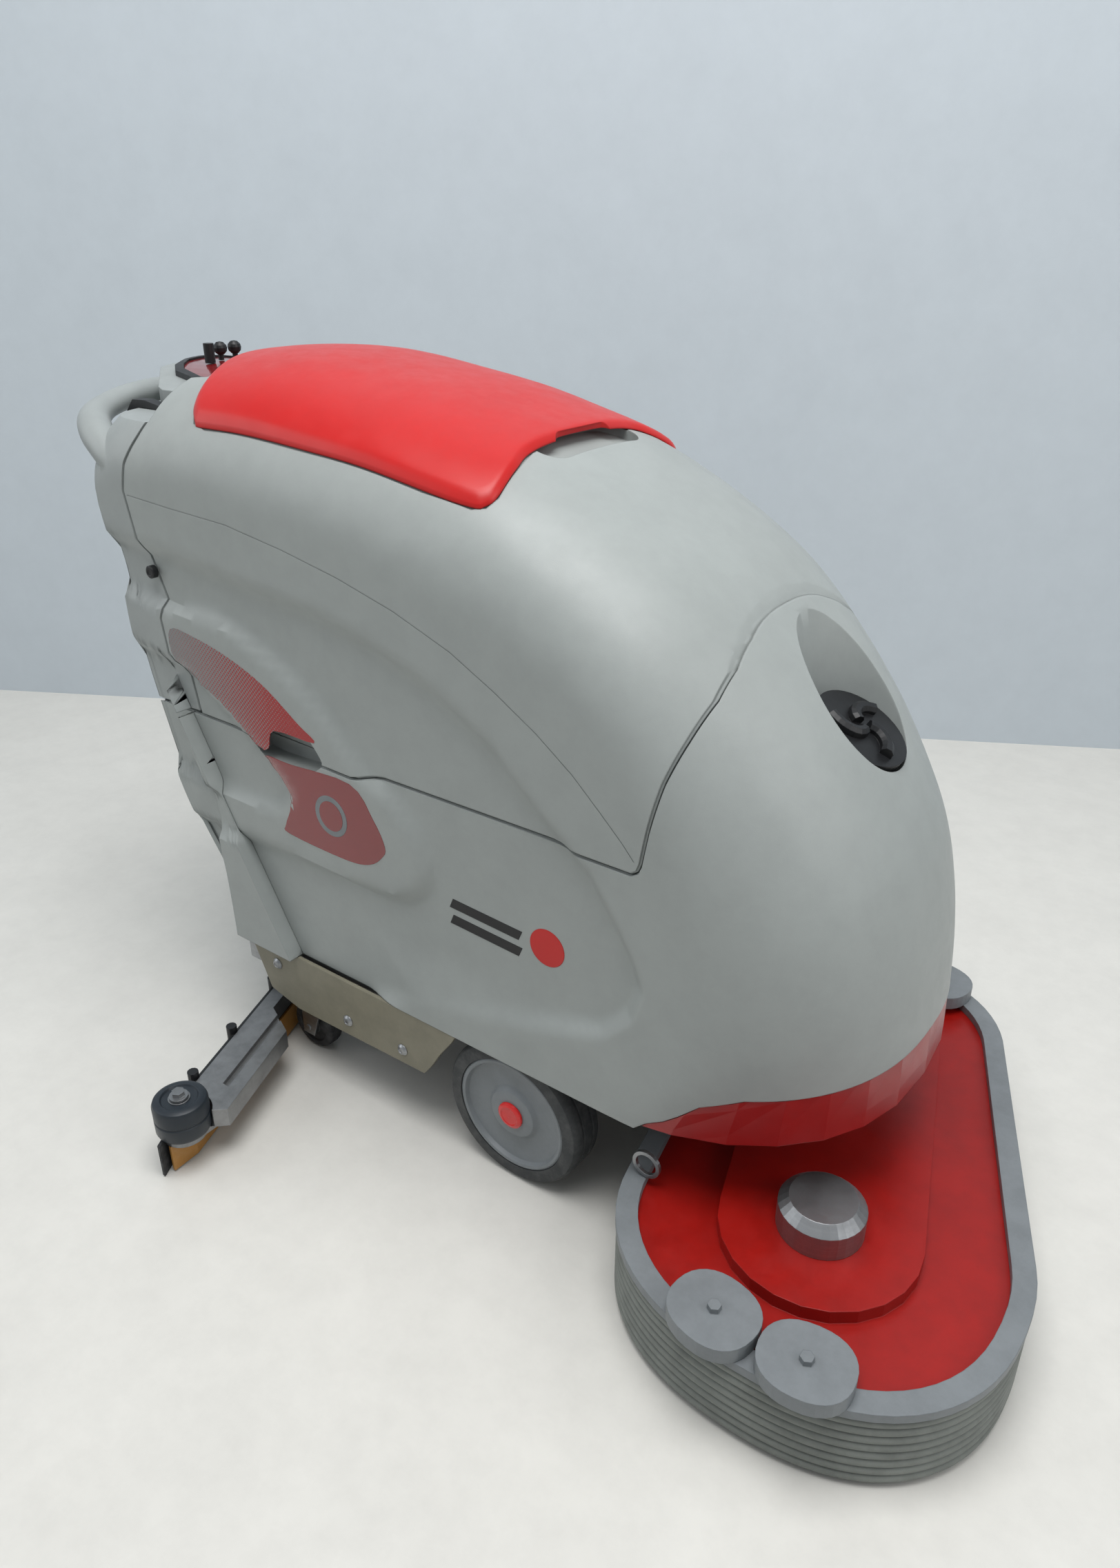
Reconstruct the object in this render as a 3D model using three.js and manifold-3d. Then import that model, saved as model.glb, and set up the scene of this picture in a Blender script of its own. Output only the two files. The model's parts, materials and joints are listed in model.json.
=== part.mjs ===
// Walk-behind scrubber dryer: two disc brushes on a lifting deck, a V-shaped squeegee,
// a solution tank with the batteries, and a recovery tank that tilts back with the handle.
// Millimetres. +X is forward, +Y is the machine's left, +Z is up, the floor is z = 0.
// The drive axle is the line x = 0 while the model is built; the last lines centre the model.

import * as THREE from 'three';
import { mergeVertices } from 'three/addons/utils/BufferGeometryUtils.js';
import { ConvexGeometry } from 'three/addons/geometries/ConvexGeometry.js';
import Module from 'manifold-3d';

const wasm = await Module();
wasm.setup();

// ---------------------------------------------------------------- driving dimensions

const bodyHalfWidth = 250;
const bodyBase = 203;
const wall = 6;
const seam = 1.5;
const clearance = 0.4;
const edgeTolerance = 0.02;

const wheelRadius = 109;
const wheelWidth = 58;
const wheelOuterFace = 243;
const axleRadius = 12;

const castorRadius = 42;
const castorWidth = 28;
const castorPivotX = -406;
const castorY = 200;
const castorTrail = 22;
const frameBottom = 160;
const frameFloor = 196;

const discRadius = 186;
const rightDiscX = 420;
const leftDiscX = 308;
const discY = 182;
const rightLobeLength = 237;
const lobeRadius = 214;
const leftLobeLength = 200;
const deckRear = 113;
const skirtThickness = 7;
const skirtTop = 108;
const skirtBottom = 7;
const rimTop = 120;
const padLength = 104;
const padWidth = 92;
const padHeight = 20;
const armPin = 5;
const armRear = [62, 135];
const armFront = [204, 116];
const armSlotBottom = 91.5;

const squeegeeHalfSpan = 505;
const bladeHalfSpan = 530;
const squeegeeRearX = -598;
const squeegeeSweep = Math.tan(THREE.MathUtils.degToRad(21));
const armPivotX = -300;
const rollerRadius = 38;
const rollerX = -388;
const rollerY = 486;

const pocketRear = -440;
const pocketFront = -325;
const pocketDepth = 34;
const lidThickness = 8.5;
const shoulderTop = 952;
const bayHalfWidth = 150;
const bayFloor = 940;
const bayFront = -562;
const consoleHalf = 126;
const consoleRear = -792;
const consoleCrown = 1000;
const consoleDrop = 24;

// ---------------------------------------------------------------- materials

function paint(colour, roughness, metalness = 0) {
  return new THREE.MeshStandardMaterial({ color: colour, roughness, metalness });
}

const finishes = {
  shell: paint(0xb4bbb9, 0.55),
  column: paint(0xaeb5b3, 0.55),
  red: paint(0xd8322d, 0.45),
  deckRed: paint(0xa3150c, 0.5),
  trimRed: paint(0x8e1714, 0.5),
  panelGrey: paint(0x767266, 0.6),
  skirtGrey: paint(0x828682, 0.75),
  rimGrey: paint(0x9aa09d, 0.5),
  black: paint(0x1b1c1e, 0.5),
  rubber: paint(0x2c2e30, 0.85),
  tyre: paint(0x3d3e3f, 0.9),
  roller: paint(0x262c32, 0.6),
  cast: paint(0x6f7072, 0.4, 0.9),
  steel: paint(0x8f9194, 0.35, 1),
  amber: paint(0xb08a4a, 0.6),
  film: paint(0x6a1216, 0.25),
  bristle: paint(0x2f4f7a, 0.9),
  battery: paint(0x33373a, 0.6),
};

// ---------------------------------------------------------------- solids

function toSolid(geometry) {
  const bare = geometry.clone();
  bare.deleteAttribute('normal');
  bare.deleteAttribute('uv');
  const merged = mergeVertices(bare, 1e-3);
  const corners = merged.index.array;
  const kept = [];
  for (let i = 0; i < corners.length; i += 3) {
    const [a, b, c] = [corners[i], corners[i + 1], corners[i + 2]];
    if (a !== b && b !== c && c !== a) kept.push(a, b, c);
  }
  const mesh = new wasm.Mesh({
    numProp: 3,
    vertProperties: new Float32Array(merged.attributes.position.array),
    triVerts: new Uint32Array(kept),
  });
  return new wasm.Manifold(mesh);
}

// Edges shorter than the tolerance are collapsed, because booleans leave needle triangles.
function toGeometry(solid) {
  const mesh = solid.simplify(edgeTolerance).getMesh();
  const geometry = new THREE.BufferGeometry();
  geometry.setAttribute('position', new THREE.BufferAttribute(mesh.vertProperties, 3));
  geometry.setIndex(new THREE.BufferAttribute(mesh.triVerts, 1));
  geometry.computeVertexNormals();
  return geometry;
}

const join = (first, ...others) => others.reduce((sum, other) => sum.add(other), first);
const cut = (first, ...others) => others.reduce((rest, other) => rest.subtract(other), first);
const common = (first, ...others) => others.reduce((both, other) => both.intersect(other), first);

function extrude(points, depth, xAxis, yAxis, zAxis, origin) {
  const outline = new THREE.Shape(points.map(([u, v]) => new THREE.Vector2(u, v)));
  const geometry = new THREE.ExtrudeGeometry(outline, { depth, bevelEnabled: false });
  const frame = new THREE.Matrix4().makeBasis(xAxis, yAxis, zAxis).setPosition(origin);
  return toSolid(geometry.applyMatrix4(frame));
}

const X = new THREE.Vector3(1, 0, 0);
const Y = new THREE.Vector3(0, 1, 0);
const Z = new THREE.Vector3(0, 0, 1);

// A plan outline of [x, y] points between two heights.
function upright(points, bottom, top) {
  return extrude(points, top - bottom, X, Y, Z, new THREE.Vector3(0, 0, bottom));
}

// A side outline of [x, z] points between two y positions.
function across(points, right, left) {
  return extrude(points, left - right, X, Z, Y.clone().negate(), new THREE.Vector3(0, left, 0));
}

// A front outline of [y, z] points between two x positions.
function along(points, rear, front) {
  return extrude(points, front - rear, Y, Z, X, new THREE.Vector3(rear, 0, 0));
}

function box(x0, x1, y0, y1, z0, z1) {
  return upright([[x0, y0], [x1, y0], [x1, y1], [x0, y1]], z0, z1);
}

function roundedRectangle(x0, x1, y0, y1, radius, steps = 4) {
  const points = [];
  const corners = [[x1 - radius, y1 - radius], [x0 + radius, y1 - radius],
    [x0 + radius, y0 + radius], [x1 - radius, y0 + radius]];
  corners.forEach(([cx, cy], quarter) => {
    for (let i = 0; i <= steps; i++) {
      const angle = (quarter + i / steps) * Math.PI / 2;
      points.push([cx + radius * Math.cos(angle), cy + radius * Math.sin(angle)]);
    }
  });
  return points;
}

function circle(cx, cy, radius, sides) {
  return Array.from({ length: sides }, (_, i) => {
    const angle = 2 * Math.PI * i / sides;
    return [cx + radius * Math.cos(angle), cy + radius * Math.sin(angle)];
  });
}

// A turned solid: [radius, height] profile points around an axis through a centre.
function turned(profile, centre, axis = Z, sides = 32) {
  const points = profile.map(([radius, height]) => new THREE.Vector2(radius, height));
  const geometry = new THREE.LatheGeometry(points, sides);
  geometry.applyQuaternion(new THREE.Quaternion().setFromUnitVectors(Y, axis));
  geometry.translate(...centre);
  const solid = toSolid(geometry);
  return solid.volume() < 0 ? toSolid(flipped(geometry)) : solid;
}

function flipped(geometry) {
  const corners = geometry.index.array;
  for (let i = 0; i < corners.length; i += 3) {
    [corners[i], corners[i + 1]] = [corners[i + 1], corners[i]];
  }
  return geometry;
}

// A closed cylinder along an axis, from `from` to `to` measured on that axis from the centre.
function cylinder(radius, from, to, centre, axis = Z, sides = 24) {
  return turned([[0, from], [radius, from], [radius, to], [0, to]], centre, axis, sides);
}

// A ring with a square section.
function ring(inner, outer, from, to, centre, axis = Z, sides = 32) {
  const profile = [[inner, from], [outer, from], [outer, to], [inner, to], [inner, from]];
  return turned(profile, centre, axis, sides);
}

function rod(start, end, radius, sides = 12) {
  const a = new THREE.Vector3(...start);
  const b = new THREE.Vector3(...end);
  const axis = b.clone().sub(a).normalize();
  return cylinder(radius, 0, a.distanceTo(b), start, axis, sides);
}

// A bar with an elliptical section swept along a smooth path of [x, y, z] points.
function swept(path, halfWidth, halfHeight, steps, sides = 12, closed = false) {
  const curve = new THREE.CatmullRomCurve3(path.map((p) => new THREE.Vector3(...p)), closed);
  const section = new THREE.Shape(circle(0, 0, 1, sides)
    .map(([u, v]) => new THREE.Vector2(u * halfHeight, v * halfWidth)));
  return toSolid(new THREE.ExtrudeGeometry(section, { steps, extrudePath: curve }));
}

// ---------------------------------------------------------------- the body's outer form

// Stations from the rear bottom edge, over the top, to the nose's bottom edge. Each one is
// a rib of the moulded body: [spine x, crown x, crown z, shoulder depth].
const bodyStations = [
  [-400, -510, 203, 40],
  [-400, -586, 330, 45],
  [-400, -648, 440, 50],
  [-400, -682, 560, 50],
  [-400, -710, 690, 55],
  [-400, -716, 800, 65],
  [-420, -738, 885, 85],
  [-440, -742, 950, 110],
  [-470, -690, 996, 130],
  [-510, -610, 1018, 150],
  [-520, -527, 1026, 160],
  [-429, -429, 1026, 165],
  [-306, -306, 1011, 165],
  [-219, -219, 998, 165],
  [-130, -130, 978, 165],
  [-51, -51, 957, 165],
  [29, 29, 924, 165],
  [90, 107, 884, 170],
  [120, 169, 846, 180],
  [130, 211, 812, 190],
  [135, 260, 765, 205],
  [140, 300, 722, 220],
  [145, 345, 666, 240],
  [150, 411, 558, 280],
  [150, 442, 458, 292],
  [150, 458, 342, 305],
  [150, 462, 203, 310],
];
const ribCount = 50;
const shoulderSteps = 7;
const shoulderPower = 2.5;

function bodyForm(grow = 0) {
  const crown = new THREE.CatmullRomCurve3(
    bodyStations.map(([, x, z, depth]) => new THREE.Vector3(x, depth, z)), false, 'centripetal');
  const spine = new THREE.CatmullRomCurve3(
    bodyStations.map(([x]) => new THREE.Vector3(x, 0, bodyBase)), false, 'centripetal');
  const ribs = [];
  for (let i = 0; i <= ribCount; i++) {
    const station = i / ribCount;
    const top = crown.getPoint(station);
    const foot = spine.getPoint(station);
    ribs.push(bodyRib(foot, top, grow));
  }
  return loft(ribs);
}

// One rib from the right foot, up the side, over the shoulder and crown to the left foot.
function bodyRib(foot, top, grow) {
  const crownPoint = new THREE.Vector3(top.x, 0, top.z);
  const direction = crownPoint.clone().sub(foot).normalize();
  const height = crownPoint.distanceTo(foot) + grow;
  const depth = Math.min(top.y + grow, height);
  const width = bodyHalfWidth + grow;
  const half = [[width, 0]];
  if (height - depth > 1) half.push([width, (height - depth) / 2]);
  else half.push([width, 0]);
  for (let i = 0; i <= shoulderSteps; i++) {
    const angle = i / shoulderSteps * Math.PI / 2;
    const out = width * Math.cos(angle) ** (2 / shoulderPower);
    const up = height - depth + depth * Math.sin(angle) ** (2 / shoulderPower);
    half.push([out, up]);
  }
  const at = (y, up) => foot.clone().addScaledVector(direction, up).setY(y);
  const right = half.map(([out, up]) => at(-out, up));
  const left = half.slice(0, -1).reverse().map(([out, up]) => at(out, up));
  return [...right, ...left];
}

// Joins rings of equal length into a closed surface with a flat cap at each end.
function loft(rings) {
  const count = rings[0].length;
  const positions = rings.flat().flatMap((p) => [p.x, p.y, p.z]);
  const corners = [];
  for (let r = 0; r < rings.length - 1; r++) {
    for (let i = 0; i < count; i++) {
      const next = (i + 1) % count;
      const [a, b] = [r * count + i, r * count + next];
      corners.push(a, b, a + count, b, b + count, a + count);
    }
  }
  const last = (rings.length - 1) * count;
  for (let i = 1; i < count - 1; i++) {
    corners.push(0, i + 1, i);
    corners.push(last, last + i, last + i + 1);
  }
  const geometry = new THREE.BufferGeometry();
  geometry.setAttribute('position', new THREE.Float32BufferAttribute(positions, 3));
  geometry.setIndex(corners);
  const solid = toSolid(geometry);
  return solid.volume() < 0 ? toSolid(flipped(geometry)) : solid;
}

// ---------------------------------------------------------------- where the body divides

// Side outline of everything above and behind the seam between the two tanks.
const seamLine = [[-900, 557], [-443, 551], [-248, 545], [-199, 554], [183, 555], [194, 566],
  [202, 610], [214, 669], [226, 712], [234, 745], [233, 767], [226, 787], [215, 808], [196, 836]];
const aboveSeam = [...seamLine, [150, 1200], [-900, 1200]];
const belowSeam = [...seamLine.map(([x, z]) => [x + 0.8 * seam, z - seam]), [600, 850],
  [600, bodyBase - 1], [-900, bodyBase - 1]];

// Side outline of the rear column, behind the upright seam.
const columnSeam = [[-562, 557], [-573, 616], [-601, 640], [-607, 690], [-598, 717],
  [-631, 799], [-644, 863], [-634, 900], [-612, 935], [-600, 960], [-600, 1100]];
const column = [...columnSeam, [-900, 1100], [-900, 557]];
const aheadOfColumn = [...columnSeam.map(([x, z]) => [x + seam, z]), [600, 1100], [600, 557]];

const sideCut = (points) => across(points, -bodyHalfWidth - 20, bodyHalfWidth + 20);
const outer = bodyForm();
const inner = bodyForm(-wall);

const fillerAxis = new THREE.Vector3(0.5, 0, 0.87).normalize();
const fillerY = 22;
const fillerTop = new THREE.Vector3(318, fillerY, 668);
const capRadius = 60;
const capThickness = 16;
const recessFloor = 30;
const neckOuter = 47;
const neckInner = 40;

// The scooped recess round the filler cap, as the convex hull of its floor and its mouth.
function recessTool(grow = 0) {
  const points = [];
  const slope = new THREE.Vector3(-fillerAxis.z, 0, fillerAxis.x);
  const floor = fillerTop.clone().addScaledVector(fillerAxis, -recessFloor - grow);
  const mouth = new THREE.Vector3(334, 0, 775);
  for (const [u, v] of circle(0, 0, 1, 28)) {
    points.push(floor.clone().addScaledVector(slope, u * (66 + grow))
      .setY(fillerY + v * (66 + grow)));
    points.push(mouth.clone().addScaledVector(slope, u * (132 + grow))
      .setY(fillerY + v * (96 + grow)));
  }
  return toSolid(new ConvexGeometry(points));
}

function fillerCylinder(radius, from, to, sides = 32) {
  return cylinder(radius, from, to, fillerTop.toArray(), fillerAxis, sides);
}

// ---------------------------------------------------------------- lower body

const bayBottom = 216;
const noseEdge = [[185, 190], [215, 219], [238, 234], [256, 250], [282, 276], [330, 300],
  [520, 330], [520, 190]];

function solutionTank() {
  const shell = common(outer, sideCut(belowSeam));
  const batteryBay = box(-470, 112, -172, 172, bayBottom, 700);
  const noseSpace = cut(
    common(inner, sideCut([[150, 362], [150, 535], [208, 545], [226, 640], [246, 722],
      [242, 800], [300, 830], [520, 830], [520, 362]])),
    recessTool(wall));
  const deckPocket = common(inner, box(186, 448, -170, 170, 190, 350));
  const wells = [-1, 1].map((side) => {
    const [a, b] = [side * 178, side * (bodyHalfWidth - 4)].sort((p, q) => p - q);
    return across(circle(0, wheelRadius, wheelRadius + 14, 40), a, b);
  });
  const pockets = handPockets(528, 560);
  return cut(shell, batteryBay, noseSpace, deckPocket, ...wells, ...pockets,
    sideCut(noseEdge), recessTool(), fillerCylinder(neckOuter + clearance, -90, 0));
}

function handPockets(bottom, top) {
  return [-1, 1].map((side) => {
    const [a, b] = [side * (bodyHalfWidth - pocketDepth), side * (bodyHalfWidth + 5)]
      .sort((p, q) => p - q);
    return box(pocketRear, pocketFront, a, b, bottom, top);
  });
}

// The red bumper band that closes the underside of the nose.
function noseBumper() {
  const band = [[209, 211], [306, 226], [480, 254], [520, 254], [520, 329], [330, 299],
    [282, 275], [256, 248.5], [238, 232.5], [215, 217.5]];
  return cut(common(outer, sideCut(band)), bodyForm(-16));
}

function fillerNeck() {
  const profile = [[neckInner, -60], [neckOuter, -60], [neckOuter, -capThickness - 1],
    [neckInner, -capThickness - 1], [neckInner, -60]];
  return turned(profile, fillerTop.toArray(), fillerAxis, 32);
}

// A screw cap with a skirt and three curved finger grips.
function fillerCap() {
  const disc = fillerCylinder(capRadius, -capThickness, 0, 40);
  const side = new THREE.Vector3().crossVectors(fillerAxis, Y);
  const grips = [0, 1, 2].map((lobe) => {
    const path = [];
    for (let i = 0; i <= 6; i++) {
      const angle = (lobe + i / 9) * 2 * Math.PI / 3;
      const reach = 8 + 36 * i / 6;
      path.push(fillerTop.clone().addScaledVector(fillerAxis, 3)
        .addScaledVector(side, reach * Math.cos(angle))
        .addScaledVector(Y, reach * Math.sin(angle)).toArray());
    }
    return swept(path, 8, 8, 8, 8);
  });
  return join(disc, ...grips);
}

// ---------------------------------------------------------------- chassis

function chassisFrame() {
  const rails = [-1, 1].map((side) => {
    const [a, b] = [side * 120, side * 160].sort((p, q) => p - q);
    return box(-490, 150, a, b, frameBottom, 200);
  });
  const members = [[-490, -356], [-318, -282], [64, 92], [128, 150]].map(([rear, front]) =>
    box(rear, front, -160, 160, frameBottom + 2, frameFloor + 2));
  const castorPads = [-1, 1].map((side) => {
    const [a, b] = [side * 118, side * 236].sort((p, q) => p - q);
    return box(-456, -356, a, b, frameBottom, 172);
  });
  const floor = cut(box(-490, 150, -236, 236, frameFloor, 202.4),
    box(-125, 125, -240, -172, 190, 210), box(-125, 125, 172, 240, 190, 210));
  const armEars = [-36, 28].map((y) =>
    across(roundedRectangle(-318, -282, 120, 165, 10), y, y + 8));
  const [pivotX, pivotZ] = armRear;
  const deckEars = [-70, 62].map((y) => cut(
    across([[pivotX - 14, pivotZ - 14], [pivotX + 14, pivotZ - 14], [pivotX + 20, frameFloor + 2],
      [pivotX - 20, frameFloor + 2]], y, y + 8),
    cylinder(armPin + clearance, -10, 20, [pivotX, y, pivotZ], Y, 16)));
  const armChannel = box(-500, -350, -26, 26, 150, frameFloor);
  return join(cut(join(floor, ...rails, ...members, ...castorPads), armChannel),
    ...armEars, ...deckEars);
}

// The painted panel along one side, cut away round the drive wheel.
function sidePanel(side) {
  const outline = [[-505, 202], [-470, 118], [-410, 103], [-150, 109], [-136, 128],
    [-118, 158], [-97, 187], [-88, 202]];
  const [a, b] = [side * 243, side * 249].sort((p, q) => p - q);
  return across(outline, a, b);
}

function batteryBlock(rear) {
  const [length, width, height] = [262, 330, 245];
  const low = bayBottom + 0.4;
  const block = upright(roundedRectangle(rear, rear + length, -width / 2, width / 2, 8, 2), low,
    low + height);
  const posts = [-1, 1].map((side) =>
    cylinder(9, -2, 16, [rear + length / 2, side * 120, low + height], Z, 12));
  const ridge = box(rear + 30, rear + length - 30, -70, 70, low + height - 1, low + height + 8);
  return join(block, ridge, ...posts);
}

function driveUnit() {
  const gearCase = cylinder(62, -46, 46, [0, 0, wheelRadius], Y, 28);
  const motor = cylinder(50, -200, -20, [0, 30, wheelRadius + 6], X, 24);
  const tubes = cylinder(26, -170, 170, [0, 0, wheelRadius], Y, 20);
  const bracket = box(-45, 45, -30, 30, wheelRadius, frameFloor - clearance);
  return cut(join(gearCase, motor, tubes, bracket),
    ...[-1, 1].map((side) => cylinder(axleRadius + 1, 60, 175, [0, 0, wheelRadius],
      new THREE.Vector3(0, side, 0), 20)));
}

function wheelParts(side) {
  const centre = [0, side * (wheelOuterFace - wheelWidth / 2), wheelRadius];
  const outward = new THREE.Vector3(0, side, 0);
  const half = wheelWidth / 2;
  const tyre = turned([[86, -half], [wheelRadius - 6, -half], [wheelRadius, -half + 7],
    [wheelRadius, half - 7], [wheelRadius - 6, half], [86, half], [86, -half]],
  centre, outward, 48);
  const rim = join(
    turned([[0, -half + 4], [85.6, -half + 4], [85.6, half - 2], [78, half], [72, half - 6],
      [22, half - 3], [22, half - 8], [0, half - 8]], centre, outward, 36),
    cylinder(axleRadius, -110, -half + 6, centre, outward, 20));
  const cap = turned([[0, half - 7.6], [20, half - 7.6], [20, half + 1], [15, half + 4],
    [0, half + 4]], centre, outward, 28);
  return { tyre, rim, cap };
}

// ---------------------------------------------------------------- castors

function castorFork(side) {
  const pivot = [castorPivotX, side * castorY, 0];
  const wheelX = castorPivotX - castorTrail;
  const stem = cylinder(20, 128, frameBottom - clearance, pivot, Z, 20);
  const bridge = box(castorPivotX - 34, castorPivotX + 24, pivot[1] - 22, pivot[1] + 22, 120, 129);
  const cheek = [[wheelX - 12, castorRadius - 12], [wheelX + 12, castorRadius - 12],
    [castorPivotX + 22, 128], [castorPivotX - 33, 128]];
  const cheeks = [-1, 1].map((hand) => {
    const [a, b] = [hand * 18, hand * 22].sort((p, q) => p - q);
    return across(cheek, pivot[1] + a, pivot[1] + b);
  });
  const axle = cylinder(5, -24, 24, [wheelX, pivot[1], castorRadius], Y, 12);
  return join(stem, bridge, ...cheeks, axle);
}

function castorWheel(side) {
  const half = castorWidth / 2;
  const centre = [castorPivotX - castorTrail, side * castorY, castorRadius];
  return turned([[5.4, -half], [castorRadius - 4, -half], [castorRadius, -half + 5],
    [castorRadius, half - 5], [castorRadius - 4, half], [5.4, half], [5.4, -half]],
  centre, Y, 24);
}

// ---------------------------------------------------------------- brush deck

function lobe(x, y, length, width, inset) {
  const sides = 64;
  const power = 2.3;
  return Array.from({ length: sides }, (_, i) => {
    const angle = 2 * Math.PI * i / sides;
    const [c, s] = [Math.cos(angle), Math.sin(angle)];
    return [x + Math.sign(c) * Math.abs(c) ** (2 / power) * (length - inset),
      y + Math.sign(s) * Math.abs(s) ** (2 / power) * (width - inset)];
  });
}

// Convex plan outline round both brush lobes, cut straight across behind the left one.
function deckOutline(inset = 0) {
  const points = [
    ...lobe(rightDiscX, -discY, rightLobeLength, lobeRadius, inset),
    ...lobe(leftDiscX, discY, leftLobeLength, lobeRadius, inset),
  ].map(([x, y]) => [Math.max(x, deckRear + inset), y]);
  return convexOutline(points);
}

function convexOutline(points) {
  const sorted = [...points].sort((p, q) => p[0] - q[0] || p[1] - q[1]);
  const turn = (o, a, b) => (a[0] - o[0]) * (b[1] - o[1]) - (a[1] - o[1]) * (b[0] - o[0]);
  const chain = (list) => {
    const kept = [];
    for (const point of list) {
      while (kept.length > 1 && turn(kept.at(-2), kept.at(-1), point) <= 0.01) kept.pop();
      kept.push(point);
    }
    return kept.slice(0, -1);
  };
  return [...chain(sorted), ...chain([...sorted].reverse())];
}

function skirt() {
  return cut(upright(deckOutline(), skirtBottom, skirtTop),
    upright(deckOutline(skirtThickness), skirtBottom - 1, skirtTop + 1), armSlot());
}

function deckRim() {
  const band = upright(deckOutline(-2), skirtTop + clearance, rimTop);
  return cut(band, upright(deckOutline(24), skirtTop - 1, rimTop + 1), armSlot());
}

// The gap at the back of the deck that lets the lift arms reach in, and drop as the deck rises.
function armSlot() {
  const overPlate = box(100, 222, -76, 76, skirtTop - 6, rimTop + 50);
  const throughEdge = box(100, 182, -76, 76, armSlotBottom, rimTop + 50);
  return join(overPlate, throughEdge);
}

function deckCover() {
  const plate = upright(deckOutline(skirtThickness + 1), 96, skirtTop);
  const crown = upright(convexOutline([...circle(rightDiscX, -discY, 120, 24),
    ...circle(leftDiscX, discY, 120, 24)]), skirtTop - 1, rimTop + 6);
  const [pinX, pinZ] = armFront;
  const ears = [-70, 62].map((y) => cut(
    across([[pinX - 20, 98], [pinX + 30, 98], [pinX + 12, pinZ + 14], [pinX - 12, pinZ + 14]],
      y, y + 8),
    across(roundedRectangle(pinX - 9, pinX + 9, pinZ - 5.6, pinZ + 5.6, 5), y - 1, y + 9)));
  const bores = [[rightDiscX, -discY], [leftDiscX, discY]].map(([x, y]) =>
    upright(circle(x, y, 24, 24), 80, 140));
  return join(cut(join(plate, crown), armSlot(), ...bores), ...ears);
}

function brushMotor(x, y) {
  const base = rimTop + 6 + clearance;
  const housing = turned([[0, base], [52, base], [52, base + 32], [40, base + 44], [0, base + 44]],
    [x, y, 0], Z, 32);
  return join(housing, cylinder(15, 92, base + 5, [x, y, 0], Z, 20));
}

function brush(x, y) {
  const hub = cylinder(60, 76, 91, [x, y, 0], Z, 28);
  const block = turned([[0, 52], [discRadius - 12, 52], [discRadius - 12, 70], [90, 77],
    [0, 77]], [x, y, 0], Z, 36);
  const bristles = ring(70, discRadius, 1, 52.5, [x, y, 0], Z, 36);
  return join(hub, block, bristles);
}

// A bolt-on bumper pad lying on the deck's rim, turned to follow the rim's edge there.
function bumperPad(x, y, degrees) {
  const angle = THREE.MathUtils.degToRad(degrees);
  const outline = lobe(0, 0, padLength / 2, padWidth / 2, 0)
    .filter((_, i) => i % 2 === 0)
    .map(([u, v]) => [x + u * Math.cos(angle) - v * Math.sin(angle),
      y + u * Math.sin(angle) + v * Math.cos(angle)]);
  const pad = upright(outline, rimTop + clearance, rimTop + padHeight);
  const bolt = cylinder(8, rimTop + padHeight - 1, rimTop + padHeight + 7, [x, y, 0], Z, 6);
  return join(pad, bolt);
}

// One of the two parallel arms that carry the deck.
function liftArm(y) {
  const ends = [armRear, armFront];
  const bar = ends.flatMap(([x, z]) => circle(x, z, 9, 20));
  const pins = ends.map(([x, z]) => cylinder(armPin, 3, 22, [x, Math.sign(y) * 48, z],
    new THREE.Vector3(0, Math.sign(y), 0), 12));
  return join(across(convexOutline(bar), y, y + 10), ...pins);
}

function bailRing() {
  return ring(14.5, 19.5, -2.5, 2.5, [212, -236, 142], Y, 24);
}

// ---------------------------------------------------------------- squeegee

const sweepX = (y) => squeegeeRearX + squeegeeSweep * Math.abs(y);

// A V-shaped strip in plan: [half span, rear offset, front offset] at its breaks.
function sweptStrip(breaks, bottom, top) {
  const rear = breaks.map(([y, back]) => [sweepX(y) + back, y]);
  const front = breaks.map(([y, , fore]) => [sweepX(y) + fore, y]);
  const flip = (points) => points.map(([x, y]) => [x, -y]);
  const outline = [...flip(rear).reverse(), ...rear.slice(1), ...front.slice().reverse(),
    ...flip(front).slice(1)];
  return upright(outline, bottom, top);
}

function squeegeeBody() {
  const rollerSpace = [-1, 1].map((side) =>
    cylinder(rollerRadius + 3, 54.9, 90, [rollerX, side * rollerY, 0], Z, 32));
  const beam = cut(sweptStrip([[0, 8, 52], [140, 8, 44], [185, 8, 34], [256, 8, 34],
    [282, 8, 84], [squeegeeHalfSpan - 60, 8, 86], [squeegeeHalfSpan - 42, 8, 60]], 54, 84),
  ...rollerSpace);
  const behindBlade = sweptStrip([[0, -60, 6], [squeegeeHalfSpan, -60, 6], [bladeHalfSpan, -60, 11]],
    40, 60);
  const lugs = [-1, 1].map((side) => {
    const [y0, y1] = [side * (squeegeeHalfSpan - 70), side * rollerY].sort((p, q) => p - q);
    return cut(join(box(rollerX - 26, rollerX + 26, y0, y1, 46, 54.5),
      cylinder(30, 46, 54.5, [rollerX, side * rollerY, 0], Z, 24)), behindBlade);
  });
  const channel = sweptStrip([[0, 50, 62], [squeegeeHalfSpan - 90, 50, 62]], 78, 90);
  const grooves = [-1, 1].map((side) => common(channel,
    box(-700, -300, side > 0 ? 262 : -440, side > 0 ? 440 : -262, 70, 95)));
  const plate = upright(roundedRectangle(-560, -488, -74, 74, 12), 80, 93);
  return cut(join(beam, ...lugs, plate), ...grooves);
}

function rearBlade() {
  return sweptStrip([[0, 0, 5], [squeegeeHalfSpan, 0, 5], [bladeHalfSpan, 4, 9]], 0.5, 53.5);
}

function frontBlade() {
  return sweptStrip([[0, 28, 32], [squeegeeHalfSpan - 30, 28, 32],
    [bladeHalfSpan - 14, 14, 18]], 2, 45);
}

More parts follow.
